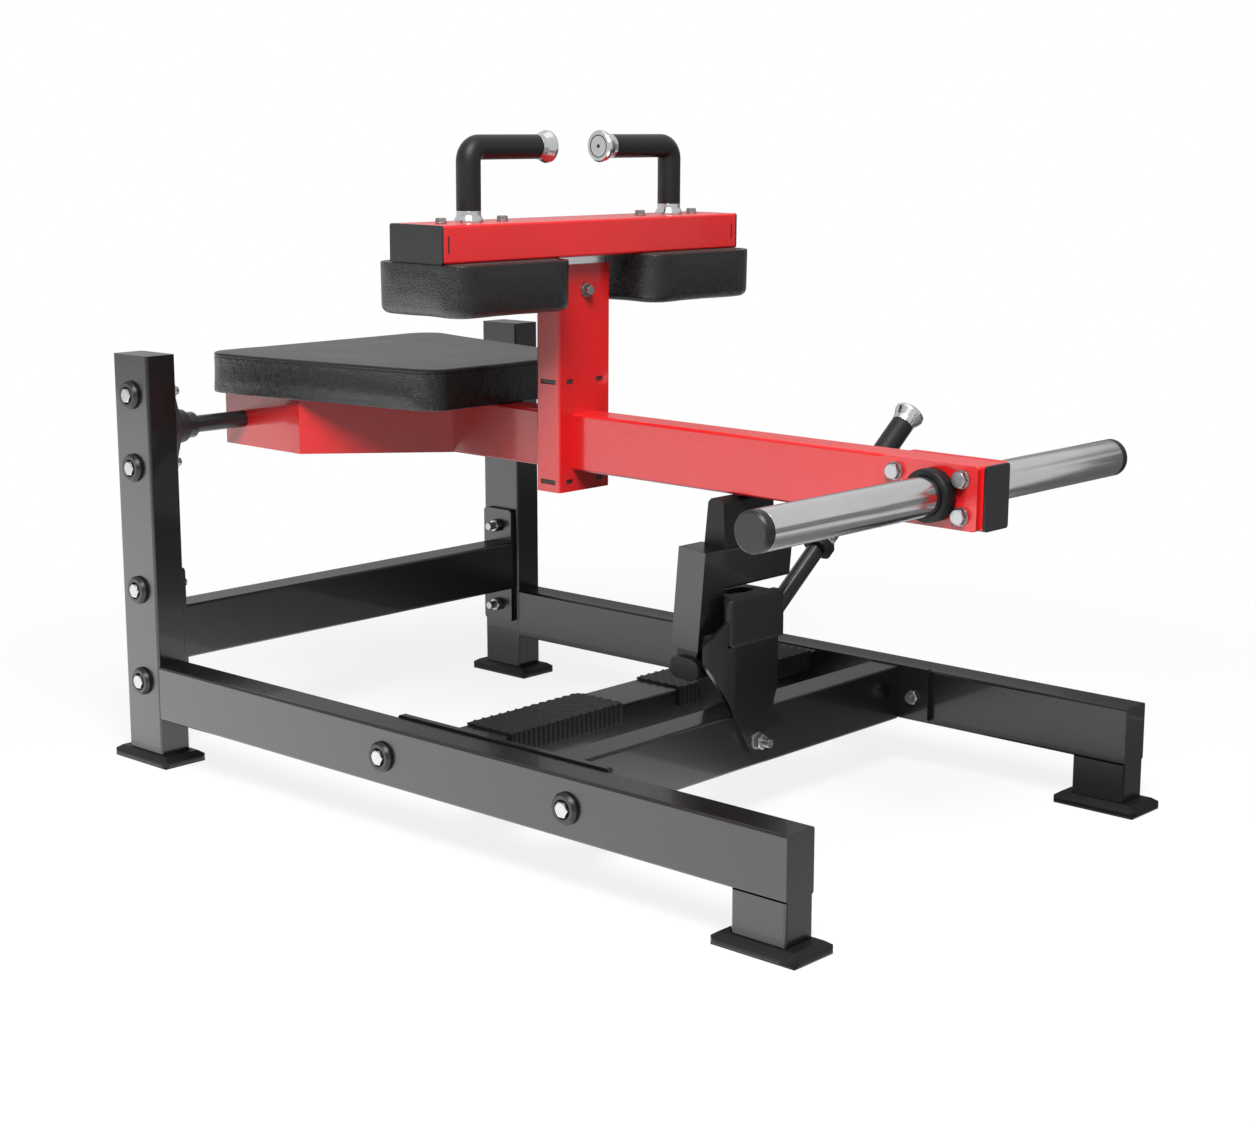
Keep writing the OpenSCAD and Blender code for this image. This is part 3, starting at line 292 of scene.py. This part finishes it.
def scratch_group():
    """Fine streaks along Y of a drawn and plated surface, over rounded edges."""
    group, given, out, place = new_group(
        "drawn_metal", [("Edge Radius", 0.0008), ("Streak Height", 0.00003)],
        ["Normal", "Streak", "Cloud"])
    streak_scales, cloud_scale = (900.0, 14.0, 900.0), 9.0
    streak = drawn_out_noise(group, place, streak_scales, 3.0)
    edge = rounded_normal(group, given["Edge Radius"])
    feed(group, out["Normal"], bump_normal(group, streak, given["Streak Height"], edge))
    feed(group, out["Streak"], streak)
    feed(group, out["Cloud"], noise_node(group, place, cloud_scale, 3.0).outputs["Fac"])
    return group


def shared_group(name, maker):
    """The node group of that name, made once."""
    return bpy.data.node_groups.get(name) or maker()


# Materials

# Most values of a noise lie between these two.
NOISE_SPAN = (0.3, 0.7)

# Lowest and highest factor of a coat's roughness, and of a plating's colour and roughness
COAT_GLOSS = (0.85, 1.15)
PLATE_TONES, PLATE_GLOSS = (0.93, 1.05), (0.7, 1.4)

# Leather: factors of its colour in the creases, as painted shade, and on the pebbles; its
# lowest and highest roughness, its specular level and the height of its pebbles
LEATHER_CREASE_SHADE, LEATHER_ROUGH = (0.45, 1.15), (0.31, 0.36)
LEATHER_SPECULAR, PEBBLE_HEIGHT = 0.33, 0.00021


def start_material(name):
    """New node material: itself, its tree and its Principled BSDF."""
    material = bpy.data.materials.new(name)
    material.use_nodes = True
    tree = material.node_tree
    return material, tree, tree.nodes["Principled BSDF"]


def place_group(tree, group, **values):
    """Node that holds a shared group, with its inputs set."""
    node = tree.nodes.new("ShaderNodeGroup")
    node.node_tree = group
    for label, value in values.items():
        node.inputs[label.replace("_", " ")].default_value = value
    return node


def shade(colour, factor):
    """The colour made lighter or darker."""
    return tuple(min(1.0, c * factor) for c in colour)


def blend_shades(tree, factor, colour, factors):
    """Mixes two shades of a colour, its factors times the colour, by a factor socket."""
    return blend_colours(tree, factor, shade(colour, factors[0]), shade(colour, factors[1]))


def coated_material(name, colour, rough, grain_scale, grain_height, variation=0.12,
                    edge=0.0012, coat=0.0, coat_rough=0.1, specular=0.5, metallic=0.0):
    """Paint, powder coat, rubber or moulded plastic, which differ in their grain and gloss."""
    material, tree, shader = start_material(name)
    skin = place_group(tree, shared_group("coated_surface", surface_group), Edge_Radius=edge,
                       Grain_Scale=grain_scale, Grain_Height=grain_height)
    cloud = mapped(tree, skin.outputs["Cloud"], NOISE_SPAN)
    feed(tree, shader.inputs["Base Color"],
         blend_shades(tree, cloud, colour, (1 - variation, 1 + variation)))
    feed(tree, shader.inputs["Roughness"],
         mapped(tree, skin.outputs["Grain"], NOISE_SPAN, [rough * f for f in COAT_GLOSS]))
    feed(tree, shader.inputs["Normal"], skin.outputs["Normal"])
    shader.inputs["Specular IOR Level"].default_value = specular
    shader.inputs["Metallic"].default_value = metallic
    shader.inputs["Coat Weight"].default_value = coat
    shader.inputs["Coat Roughness"].default_value = coat_rough
    return material


def plated_material(name, colour, rough, streak, edge=0.0006):
    """Plated steel with fine streaks."""
    material, tree, shader = start_material(name)
    skin = place_group(tree, shared_group("drawn_metal", scratch_group), Edge_Radius=edge,
                       Streak_Height=streak)
    cloud = mapped(tree, skin.outputs["Cloud"], NOISE_SPAN)
    feed(tree, shader.inputs["Base Color"], blend_shades(tree, cloud, colour, PLATE_TONES))
    feed(tree, shader.inputs["Roughness"],
         mapped(tree, skin.outputs["Streak"], NOISE_SPAN, [rough * f for f in PLATE_GLOSS]))
    feed(tree, shader.inputs["Normal"], skin.outputs["Normal"])
    shader.inputs["Metallic"].default_value = 1.0
    return material


def leather_material(colour, grain):
    """Black pebbled leather: painted shade darkens its creases, and its gloss is a little uneven."""
    material, tree, shader = start_material("black_leather")
    skin = place_group(tree, shared_group("pebbled_leather", pebble_group), Cells=1 / grain,
                       Height=PEBBLE_HEIGHT)
    # Painted shade: the colour is darker in the creases and a little lighter on the pebbles.
    feed(tree, shader.inputs["Base Color"],
         blend_shades(tree, skin.outputs["Crease"], colour, LEATHER_CREASE_SHADE))
    feed(tree, shader.inputs["Roughness"],
         mapped(tree, skin.outputs["Cloud"], NOISE_SPAN, LEATHER_ROUGH))
    feed(tree, shader.inputs["Normal"], skin.outputs["Normal"])
    shader.inputs["Specular IOR Level"].default_value = LEATHER_SPECULAR
    return material


def make_materials(colours, sizes):
    """One material for each finish of the record, and a few for single nodes."""
    paint = dict(rough=0.28, grain_height=0.00003, edge=sizes.edge_radius, specular=0.3)
    black = dict(paint, colour=colours.frame_black, grain_scale=1500.0, coat=0.2,
                 coat_rough=0.05)
    rubber = dict(colour=colours.rubber, grain_scale=700.0, grain_height=0.0002)
    coats = {
        "frame_paint": black,
        "leg_paint": dict(black, edge=0.0001),
        "arm_paint": dict(paint, colour=colours.arm_red, grain_scale=1300.0, variation=0.04,
                          coat=0.25, coat_rough=0.06),
        "dark_steel": dict(colour=(0.02, 0.02, 0.021), rough=0.3, grain_scale=1200.0,
                           grain_height=0.00006, edge=0.0005, metallic=0.3),
        "cast_black": dict(colour=(0.012, 0.012, 0.013), rough=0.45, grain_scale=420.0,
                           grain_height=0.0004, edge=0.0015, specular=0.4),
        "black_rubber": dict(rubber, rough=0.5, edge=0.002, specular=0.2),
        "grip_rubber": dict(rubber, colour=shade(colours.rubber, 1.3), rough=0.42,
                            grain_scale=900.0, edge=0.001, specular=0.22),
        "soft_rubber": dict(rubber, rough=0.45, edge=0.007, specular=0.3),
        "black_plastic": dict(colour=(0.008, 0.008, 0.009), rough=0.36, grain_scale=800.0,
                              grain_height=0.0001, specular=0.25),
        "board": dict(colour=(0.022, 0.021, 0.02), rough=0.7, grain_scale=300.0,
                      grain_height=0.0004, edge=0.0004),
    }
    made = {name: coated_material(name, **values) for name, values in coats.items()}
    made["chrome"] = plated_material("chrome", colours.chrome, 0.17, 0.00002)
    made["zinc"] = plated_material("zinc", colours.zinc, 0.34, 0.00003)
    made["black_leather"] = leather_material(colours.leather, sizes.leather_grain)
    return made


# Nodes whose finish differs from the rest of their slot. The knee post's shelves take the
# dark board finish as painted shade in the post's slots.
OTHER_FINISHES = {"post_shelves": "board", "beam_bumper": "soft_rubber",
                  "front_legs": "leg_paint", "insert_tube": "chrome"}


class CALFRAISE_OT_finishes(bpy.types.Operator):
    """Makes the finishes and gives each CAD node its own"""
    bl_idname = "calfraise.finishes"
    bl_label = "Finishes"

    def execute(self, context):
        MATERIALS.update(make_materials(context.scene.calf_raise_colours,
                                        context.scene.calf_raise_sizes))
        for part in frame["record"]["subparts"]:
            finish = OTHER_FINISHES.get(part["node"], part["material_slot"])
            slots = NODES[part["node"]].data.materials
            slots.clear()
            slots.append(MATERIALS[finish])
        return {"FINISHED"}


# Meshes from numpy arrays

def new_piece(name, points, faces, material, body, smooth):
    """Object whose vertices are already in place; it rides on its body."""
    mesh = bpy.data.meshes.new(name)
    mesh.from_pydata(np.asarray(points).tolist(), [], faces)
    mesh.validate()
    mesh.update()
    if smooth:
        mesh.shade_smooth()
    else:
        mesh.shade_flat()
    mesh.materials.append(material)
    piece = bpy.data.objects.new(name, mesh)
    bpy.context.scene.collection.objects.link(piece)
    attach(piece, body)
    return piece


def loop_faces(count, columns, first=0):
    """Quads between each closed loop of points and the next, as lists of four indices."""
    row, column = np.meshgrid(np.arange(count - 1), np.arange(columns), indexing="ij")
    following = (column + 1) % columns
    low, high = row * columns, (row + 1) * columns
    quads = np.stack([low + column, low + following, high + following, high + column], -1)
    return (quads.reshape(-1, 4) + first).tolist()


def placed(points, place):
    """Points turned and moved by a matrix."""
    return (np.asarray(points, float) @ np.array(place.to_3x3()).T
            + np.array(place.translation))


# Cushions

# Depth of the recess that the board fills
RECESS = 0.0032

# What lies lower than this is held still while the cover swells, and the swell grows to
# its full size over the fade above it.
HELD_BELOW = 0.006
SWELL_FADE = 0.008
SWELL_FRAMES = 20

# The folds grow to their full height over this depth below the top.
FOLD_FADE = 0.006

# The seat's plan starts smaller by this share of its swell.
SWELL_ROOM = 0.3


def outline(back_x, front_x, back_w, front_w, radius, inset, per_corner=12, per_side=10):
    """Plan of a cushion as a closed loop: four straight sides and four quarter rounds.

    The corners' centres lie the inset plus the round's radius inside the four sides. The
    radius is the given one less the inset, and at least 2 mm.
    """
    k = max(radius - inset, 0.002)
    back, front = back_x + inset + k, front_x - inset - k
    half_back, half_front = back_w / 2 - inset - k, front_w / 2 - inset - k
    centres = np.array([[front, half_front], [back, half_back],
                        [back, -half_back], [front, -half_front]])
    turn = np.linspace(0, math.pi / 2, per_corner)
    share = np.linspace(0, 1, per_side + 2)[1:-1, None]
    loops = []
    for corner in range(4):
        angle = turn + corner * math.pi / 2
        arc = centres[corner] + k * np.stack([np.cos(angle), np.sin(angle)], 1)
        start = (corner + 1) * math.pi / 2
        following = (centres[(corner + 1) % 4]
                     + k * np.array([math.cos(start), math.sin(start)]))
        loops += [arc, arc[-1] * (1 - share) + following * share]
    return np.concatenate(loops)


def cushion_rows(height, crown, edge, tuck, lip, seam):
    """Profile of a cushion as rows of inset, height and share of the plan.

    A lip with a chamfer inside and a level land stands round the board's recess. A small
    quarter round, the foot, leads to the side, which leans out by the tuck and turns in by
    a quarter round of the edge's radius. The top rises to the crown as one minus the square
    of the row's share. A seam, where its height isn't 0, is a bell-shaped groove round the
    side.
    """
    wall_lean, chamfer_z, chamfer_w = 0.0006, 0.0004, 0.001
    foot, groove_depth, groove_width = 0.0015, 0.001, 0.0007
    rows = [(lip + wall_lean, RECESS, share) for share in (0.35, 0.7, 0.9, 1.0)]
    rows += [(lip, chamfer_z, 1.0), (lip - chamfer_w, 0.0, 1.0), (lip * 0.6, 0.0, 1.0)]
    for a in np.linspace(0, math.pi / 2, 5):
        rows.append((tuck + foot * (1 - math.sin(a)), foot * (1 - math.cos(a)), 1.0))
    low, high = foot, height - edge
    heights = np.linspace(low, high, 12)[1:]
    if seam:
        heights = heights[np.abs(heights - seam) > 5 * groove_width]
        away = groove_depth * np.array([0.5, 0.9, 1.4, 2, 3])
        heights = np.sort(np.concatenate([heights, seam - away, [seam], seam + away]))
    for z in heights:
        groove = groove_depth * math.exp(-((z - seam) / groove_width) ** 2) if seam else 0.0
        rows.append((tuck * (high - z) / (high - low) + groove, z, 1.0))
    for a in np.linspace(0, math.pi / 2, 9)[1:]:
        rows.append((edge * (1 - math.cos(a)), high + edge * math.sin(a), 1.0))
    for share in (0.96, 0.9, 0.82, 0.72, 0.6, 0.47, 0.33, 0.18, 0.06):
        rows.append((edge, height + crown * (1 - share * share), share))
    return rows


def cushion_points(back_x, front_x, back_w, front_w, radius, bow, height, crown, edge, tuck,
                   lip, seam):
    """Closed cushion on z = 0: the plan drawn in and lifted by each row of its profile.

    The plan's sides swell out by the bow as a sine of their length, which the straight
    plan leaves room for.
    """
    middle = np.array([(back_x + front_x) / 2, 0.0])
    loops = []
    for inset, z, share in cushion_rows(height, crown, edge, tuck, lip, seam):
        plan = outline(back_x + bow, front_x - bow, back_w - 2 * bow, front_w - 2 * bow,
                       radius, inset)
        along = np.clip((plan[:, 0] - back_x) / (front_x - back_x), 0, 1)
        across = np.clip(plan[:, 1] / max(back_w, front_w) + 0.5, 0, 1)
        plan[:, 1] += np.sign(plan[:, 1]) * bow * np.sin(math.pi * along)
        plan[:, 0] += np.sign(plan[:, 0] - middle[0]) * bow * np.sin(math.pi * across)
        loops.append(np.column_stack([middle + (plan - middle) * share,
                                      np.full(len(plan), z)]))
    columns, count = len(loops[0]), len(loops)
    poles = np.array([[*middle, RECESS], [*middle, height + crown]])
    bottom, top, last_loop = count * columns, count * columns + 1, (count - 1) * columns
    step = np.arange(columns)
    after = (step + 1) % columns
    faces = loop_faces(count, columns)
    faces += np.column_stack([np.full(columns, bottom), after, step]).tolist()
    faces += np.column_stack([np.full(columns, top), step + last_loop,
                              after + last_loop]).tolist()
    return np.concatenate([*loops, poles]), faces


def vertex_array(mesh):
    """Vertex places of a mesh as an array."""
    flat = np.zeros(len(mesh.vertices) * 3)
    mesh.vertices.foreach_get("co", flat)
    return flat.reshape(-1, 3)


def evaluated_mesh(piece):
    """Copy of a piece's mesh with its modifiers in it."""
    bpy.context.view_layer.update()
    graph = bpy.context.evaluated_depsgraph_get()
    return bpy.data.meshes.new_from_object(piece.evaluated_get(graph))


def nearby_mean(places, values, at, count=24, softness=0.004):
    """Value at each given place: the mean of its nearest values, weighted by closeness."""
    tree = KDTree(len(places))
    for index, place in enumerate(places):
        tree.insert(place, index)
    tree.balance()
    out = np.zeros((len(at), values.shape[1]))
    for row, place in enumerate(at):
        near = tree.find_n(place, count)
        weight = np.array([1 / (distance + softness) for _, _, distance in near])
        nearest = values[[index for _, index, _ in near]]
        out[row] = (nearest * weight[:, None]).sum(0) / weight.sum()
    return out


def voxel_copy(points, faces, voxel):
    """Object with the closed shape of those faces, remeshed to voxels."""
    mesh = bpy.data.meshes.new("swelling")
    mesh.from_pydata(points.tolist(), [], faces)
    piece = bpy.data.objects.new("swelling", mesh)
    bpy.context.scene.collection.objects.link(piece)
    remesh = piece.modifiers.new("Remesh", "REMESH")
    remesh.mode = "VOXEL"
    remesh.voxel_size = voxel
    mesh = evaluated_mesh(piece)
    piece.modifiers.clear()
    piece.data = mesh
    return piece


def swell(points, faces, sizes, cap):
    """Presses the cover out by the foam's pressure and returns the moved points.

    A voxel copy is blown up as cloth for 20 frames with its lower rim pinned. The mean move
    of the nearest voxels, at most the cap, goes to each point, and it fades in above the
    pinned rim.
    """
    piece = voxel_copy(points, faces, sizes.voxel)
    rest = vertex_array(piece.data)
    hold = piece.vertex_groups.new(name="hold")
    hold.add([int(i) for i in np.nonzero(rest[:, 2] < HELD_BELOW)[0]], 1.0, "REPLACE")
    cloth = piece.modifiers.new("Cloth", "CLOTH")
    cloth.settings.quality = 5
    cloth.settings.mass = 0.4
    cloth.settings.tension_stiffness = 40
    cloth.settings.compression_stiffness = 40
    cloth.settings.bending_stiffness = 4
    cloth.settings.use_pressure = True
    cloth.settings.uniform_pressure_force = sizes.pressure
    cloth.settings.vertex_group_mass = "hold"
    cloth.settings.effector_weights.gravity = 0
    cloth.collision_settings.use_collision = False
    cloth.point_cache.frame_start = 1
    cloth.point_cache.frame_end = SWELL_FRAMES
    scene = bpy.context.scene
    for step in range(1, SWELL_FRAMES + 1):
        scene.frame_set(step)
    change = vertex_array(evaluated_mesh(piece)) - rest
    scene.frame_set(1)
    bpy.data.objects.remove(piece)
    length = np.linalg.norm(change, axis=1, keepdims=True)
    change = change * np.minimum(1.0, cap / np.maximum(length, 1e-9))
    move = nearby_mean(rest, change, points)
    rise = np.clip((points[:, 2:3] - HELD_BELOW) / SWELL_FADE, 0, 1)
    return points + move * rise * rise * (3 - 2 * rise)


def make_cushion(name, plan, sizes, cap, place, body, node, folds):
    """One upholstered piece: swollen in its own frame, then set in place, and its CAD node hidden.

    Its side attribute, which scales the leather's folds, is 0 on the top and folds below.
    """
    points, faces = cushion_points(**plan)
    moved = swell(points, faces, sizes, cap)
    piece = new_piece(name, placed(moved, place), faces, MATERIALS["black_leather"], body,
                      smooth=True)
    side = piece.data.attributes.new("side", "FLOAT", "POINT")
    depth = plan["height"] - moved[:, 2]
    side.data.foreach_set("value", folds * np.clip(depth / FOLD_FADE, 0, 1))
    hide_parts(node)


class CALFRAISE_OT_seat(bpy.types.Operator):
    """Makes the seat's cushion"""
    bl_idname = "calfraise.seat"
    bl_label = "Seat cushion"

    def execute(self, context):
        sizes = context.scene.calf_raise_sizes
        room = sizes.seat_swell * SWELL_ROOM
        plan = dict(back_x=-0.053 + room, front_x=0.379 - room,
                    back_w=0.458 - 2 * room, front_w=0.331 - 2 * room,
                    radius=0.040, bow=0.001, height=0.0590, crown=0.003, edge=0.0035,
                    tuck=0.0005, lip=0.017, seam=0.0535)
        place = ARM @ Matrix.Translation((0, 0, BEAM_TOP + COVER_GAP))
        make_cushion("seat_cover", plan, sizes, sizes.seat_swell, place, "arm",
                     "seat_cushion", folds=1.0)
        return {"FINISHED"}


class CALFRAISE_OT_pads(bpy.types.Operator):
    """Makes the two thigh pads, which hang under the crossbar with their crown down"""
    bl_idname = "calfraise.pads"
    bl_label = "Thigh pads"

    def execute(self, context):
        sizes = context.scene.calf_raise_sizes
        plan = dict(back_x=-0.112, front_x=0.112, back_w=0.1725, front_w=0.1725,
                    radius=0.035, bow=0.0005, height=0.0675, crown=0.002, edge=0.010,
                    tuck=0.0005, lip=0.010, seam=0.0)
        for name, node, side in (("right_pad_cover", "right_thigh_pad", -1),
                                 ("left_pad_cover", "left_thigh_pad", 1)):
            place = (ARM @ Matrix.Translation((KNEE_X, side * PAD_Y, PAD_TOP - COVER_GAP))
                     @ Matrix.Rotation(math.pi / 2, 4, "Z") @ Matrix.Rotation(math.pi, 4, "X"))
            make_cushion(name, plan, sizes, sizes.pad_swell, place, "knee_pads", node,
                         folds=0.25)
        return {"FINISHED"}


# Marks on the handles' end caps: flat black rings of painted shade

# The rings are painted shade: black plastic drawn where the turned groove and the centre hole would be shaded.
# Name, inner and outer radius of each ring
CAP_RINGS = (("cap_hole_shade", 0.0001, 0.0028), ("cap_groove_shade", 0.0144, 0.0158))
RING_POINTS = 48


def ring_piece(name, centres, inner, outer, body):
    """Flat rings square to Y: an inner and an outer circle round each centre."""
    turn = np.linspace(0, 2 * math.pi, RING_POINTS + 1)[:-1]
    circle = np.stack([np.cos(turn), np.zeros(RING_POINTS), np.sin(turn)], 1)
    points, faces = [], []
    for centre in centres:
        faces += loop_faces(2, RING_POINTS, first=len(points) * RING_POINTS)
        points += [circle * inner + centre, circle * outer + centre]
    new_piece(name, np.concatenate(points), faces, MATERIALS["black_plastic"], body,
              smooth=False)


class CALFRAISE_OT_marks(bpy.types.Operator):
    """Makes flat black rings on the handles' end caps, painted shade for their turned groove and centre hole"""
    bl_idname = "calfraise.marks"
    bl_label = "End cap marks"

    def execute(self, context):
        centres = placed([(KNEE_X, side * CAP_FACE_Y, GRIP_Z) for side in (-1, 1)], ARM)
        for name, inner, outer in CAP_RINGS:
            ring_piece(name, centres, inner, outer, "knee_pads")
        return {"FINISHED"}


# Stage

# Strength of the world for the light on the object, and for what sees the background
WORLD_LIGHT, WORLD_SEEN = 0.1, 1.0

# Half the floor's side; its grey for the light, and for camera and reflections; and the
# share of its own white there, which grows to 1 between two distances from the middle
FLOOR_REACH = 60.0
FLOOR_LIT, FLOOR_SEEN = (0.3, 0.3, 0.3), (0.93, 0.93, 0.93)
FLOOR_GLOW, FLOOR_FADE = 0.85, (0.9, 2.0)

# Name, place, side and power of each lamp, and the point that they face
LAMPS = (("key", (1.75, -1.9, 3.4), 1.8, 250), ("top", (0.0, -0.2, 3.6), 2.4, 15))
LAMP_TARGET = (0, 0, 0.35)

# Cards are seen only by reflections. Shades and flags darken what the paint mirrors, and
# glows brighten it.

# Name, x from and to, y, z from and to, and strength of each upright card
WALL_CARDS = (("back_shade", -3.6, 1.2, 1.65, 0.3, 1.25, 0.4),
              ("low_flag", -1.5, 0.9, 0.8, 0.004, 0.28, 0.18),
              ("high_flag", 0.25, 0.9, 0.8, 0.28, 0.62, 0.18),
              ("far_flag", 1.15, 2.4, 0.8, 0.14, 0.62, 0.3))

# Name, x from and to, y from and to, and strength of each card on the floor
FLOOR_CARDS = (("front_shade", 0.35, 1.0, 0.12, 0.79, 0.3),
               ("end_shade", 1.0, 1.9, -0.35, 0.7, 0.5),
               ("left_glow", -4.5, 0.9, -4.0, -0.44, 3.9),
               ("mid_glow", -3.0, 0.62, -0.44, 0.11, 2.6))
FLOOR_CARD_Z = 0.003

# Camera: its place, how far it looks down and to the side, and its sensor and lens in mm
CAMERA_PLACE = (2.063, -2.237, 0.9145)
LOOK_DOWN, LOOK_ROUND = math.radians(11.05), math.radians(42.35)
SENSOR_WIDTH, LENS = 36.0, 63.25


def flat_piece(name, corners, material):
    """Four-cornered sheet of the stage."""
    mesh = bpy.data.meshes.new(name)
    mesh.from_pydata(corners, [], [(0, 1, 2, 3)])
    mesh.materials.append(material)
    sheet = bpy.data.objects.new(name, mesh)
    bpy.context.scene.collection.objects.link(sheet)
    return sheet


def floor_corners(x0, x1, y0, y1, z):
    """Corners of a level rectangle that faces up."""
    return [(x0, y0, z), (x1, y0, z), (x1, y1, z), (x0, y1, z)]


def wall_corners(x0, x1, y, low, high):
    """Corners of an upright rectangle that faces -Y."""
    return [(x0, y, low), (x1, y, low), (x1, y, high), (x0, y, high)]


def seen_mask(tree):
    """1 for camera, glossy and transmission rays, else 0."""
    rays = tree.nodes.new("ShaderNodeLightPath").outputs
    both = math_value(tree, "MAXIMUM", rays["Is Camera Ray"], rays["Is Glossy Ray"])
    return math_value(tree, "MAXIMUM", both, rays["Is Transmission Ray"])


def make_world(scene):
    """Dim for the light on the object, white for what sees the background."""
    world = bpy.data.worlds.new("studio")
    scene.world = world
    world.use_nodes = True
    tree = world.node_tree
    tree.nodes.clear()
    out = tree.nodes.new("ShaderNodeOutputWorld")
    feed(tree, out.inputs["Surface"],
         mix_shaders(tree, seen_mask(tree),
                     white_shader(tree, "ShaderNodeBackground", WORLD_LIGHT),
                     white_shader(tree, "ShaderNodeBackground", WORLD_SEEN)))


def floor_material():
    """Matt white that keeps the shadow near the object and is plain white far from it."""
    material, tree, shader = start_material("white_floor")
    seen = seen_mask(tree)
    feed(tree, shader.inputs["Base Color"], blend_colours(tree, seen, FLOOR_LIT, FLOOR_SEEN))
    shader.inputs["Roughness"].default_value = 0.9
    shader.inputs["Specular IOR Level"].default_value = 0.0
    place = tree.nodes.new("ShaderNodeTexCoord")
    far = tree.nodes.new("ShaderNodeVectorMath")
    far.operation = "LENGTH"
    feed(tree, far.inputs[0], place.outputs["Object"])
    share = mapped(tree, far.outputs["Value"], FLOOR_FADE, (FLOOR_GLOW, 1.0), smooth=True)
    feed(tree, tree.nodes["Material Output"].inputs["Surface"],
         mix_shaders(tree, math_value(tree, "MULTIPLY", share, seen),
                     shader.outputs["BSDF"], white_shader(tree, "ShaderNodeEmission", 1.0)))
    return material


def area_light(name, place, side, power):
    """Square soft box that faces the target and isn't seen itself."""
    data = bpy.data.lights.new(name, "AREA")
    data.shape = "RECTANGLE"
    data.size, data.size_y, data.energy = side, side, power
    lamp = bpy.data.objects.new(name, data)
    bpy.context.scene.collection.objects.link(lamp)
    lamp.location = place
    facing = Vector(LAMP_TARGET) - Vector(place)
    lamp.rotation_euler = facing.to_track_quat("-Z", "Y").to_euler()
    lamp.visible_camera = False


def card(name, corners, strength):
    """Reflector or flag that only reflections see, from its front side."""
    material, tree, shader = start_material(name)
    tree.nodes.remove(shader)
    side = tree.nodes.new("ShaderNodeNewGeometry")
    clear = tree.nodes.new("ShaderNodeBsdfTransparent")
    feed(tree, tree.nodes["Material Output"].inputs["Surface"],
         mix_shaders(tree, side.outputs["Backfacing"],
                     white_shader(tree, "ShaderNodeEmission", strength),
                     clear.outputs["BSDF"]))
    sheet = flat_piece(name, corners, material)
    for ray in ("camera", "diffuse", "transmission", "volume_scatter", "shadow"):
        setattr(sheet, "visible_" + ray, False)


def make_camera(scene):
    """Camera at the photograph's place and angle."""
    data = bpy.data.cameras.new("camera")
    data.sensor_fit = "HORIZONTAL"
    data.sensor_width, data.lens = SENSOR_WIDTH, LENS
    data.clip_start, data.clip_end = 0.05, 200.0
    camera = bpy.data.objects.new("camera", data)
    scene.collection.objects.link(camera)
    camera.location = CAMERA_PLACE
    camera.rotation_euler = (math.pi / 2 - LOOK_DOWN, 0, LOOK_ROUND)
    scene.camera = camera


class CALFRAISE_OT_stage(bpy.types.Operator):
    """Makes the white floor, the soft light and the camera"""
    bl_idname = "calfraise.stage"
    bl_label = "Stage"

    def execute(self, context):
        scene = context.scene
        scene.view_settings.view_transform = "Standard"
        make_world(scene)
        flat_piece("floor", floor_corners(-FLOOR_REACH, FLOOR_REACH, -FLOOR_REACH,
                                          FLOOR_REACH, 0), floor_material())
        for name, place, side, power in LAMPS:
            area_light(name, place, side, power)
        for name, x0, x1, y, low, high, strength in WALL_CARDS:
            card(name, wall_corners(x0, x1, y, low, high), strength)
        for name, x0, x1, y0, y1, strength in FLOOR_CARDS:
            card(name, floor_corners(x0, x1, y0, y1, FLOOR_CARD_Z), strength)
        make_camera(scene)
        return {"FINISHED"}


# Add-on

class VIEW3D_PT_calf_raise(bpy.types.Panel):
    """Sizes, colours and steps of the calf raise machine"""
    bl_idname = "VIEW3D_PT_calf_raise"
    bl_label = "Calf raise"
    bl_space_type = "VIEW_3D"
    bl_region_type = "UI"
    bl_category = "Calf raise"

    def draw(self, context):
        for settings in (context.scene.calf_raise_colours, context.scene.calf_raise_sizes):
            column = self.layout.column()
            for name in settings.bl_rna.properties.keys():
                if name not in ("rna_type", "name"):
                    column.prop(settings, name)
        for step in STEPS:
            self.layout.operator(step.bl_idname)


STEPS = (CALFRAISE_OT_finishes, CALFRAISE_OT_seat, CALFRAISE_OT_pads, CALFRAISE_OT_marks,
         CALFRAISE_OT_stage)
CLASSES = (CalfRaiseColours, CalfRaiseSizes, *STEPS, VIEW3D_PT_calf_raise)


def register():
    for cls in CLASSES:
        bpy.utils.register_class(cls)
    bpy.types.Scene.calf_raise_colours = bpy.props.PointerProperty(type=CalfRaiseColours)
    bpy.types.Scene.calf_raise_sizes = bpy.props.PointerProperty(type=CalfRaiseSizes)


def unregister():
    del bpy.types.Scene.calf_raise_sizes
    del bpy.types.Scene.calf_raise_colours
    for cls in reversed(CLASSES):
        bpy.utils.unregister_class(cls)


def main():
    register()
    bpy.ops.calfraise.finishes()
    bpy.ops.calfraise.seat()
    bpy.ops.calfraise.pads()
    bpy.ops.calfraise.marks()
    bpy.ops.calfraise.stage()


if __name__ == "__main__":
    main()
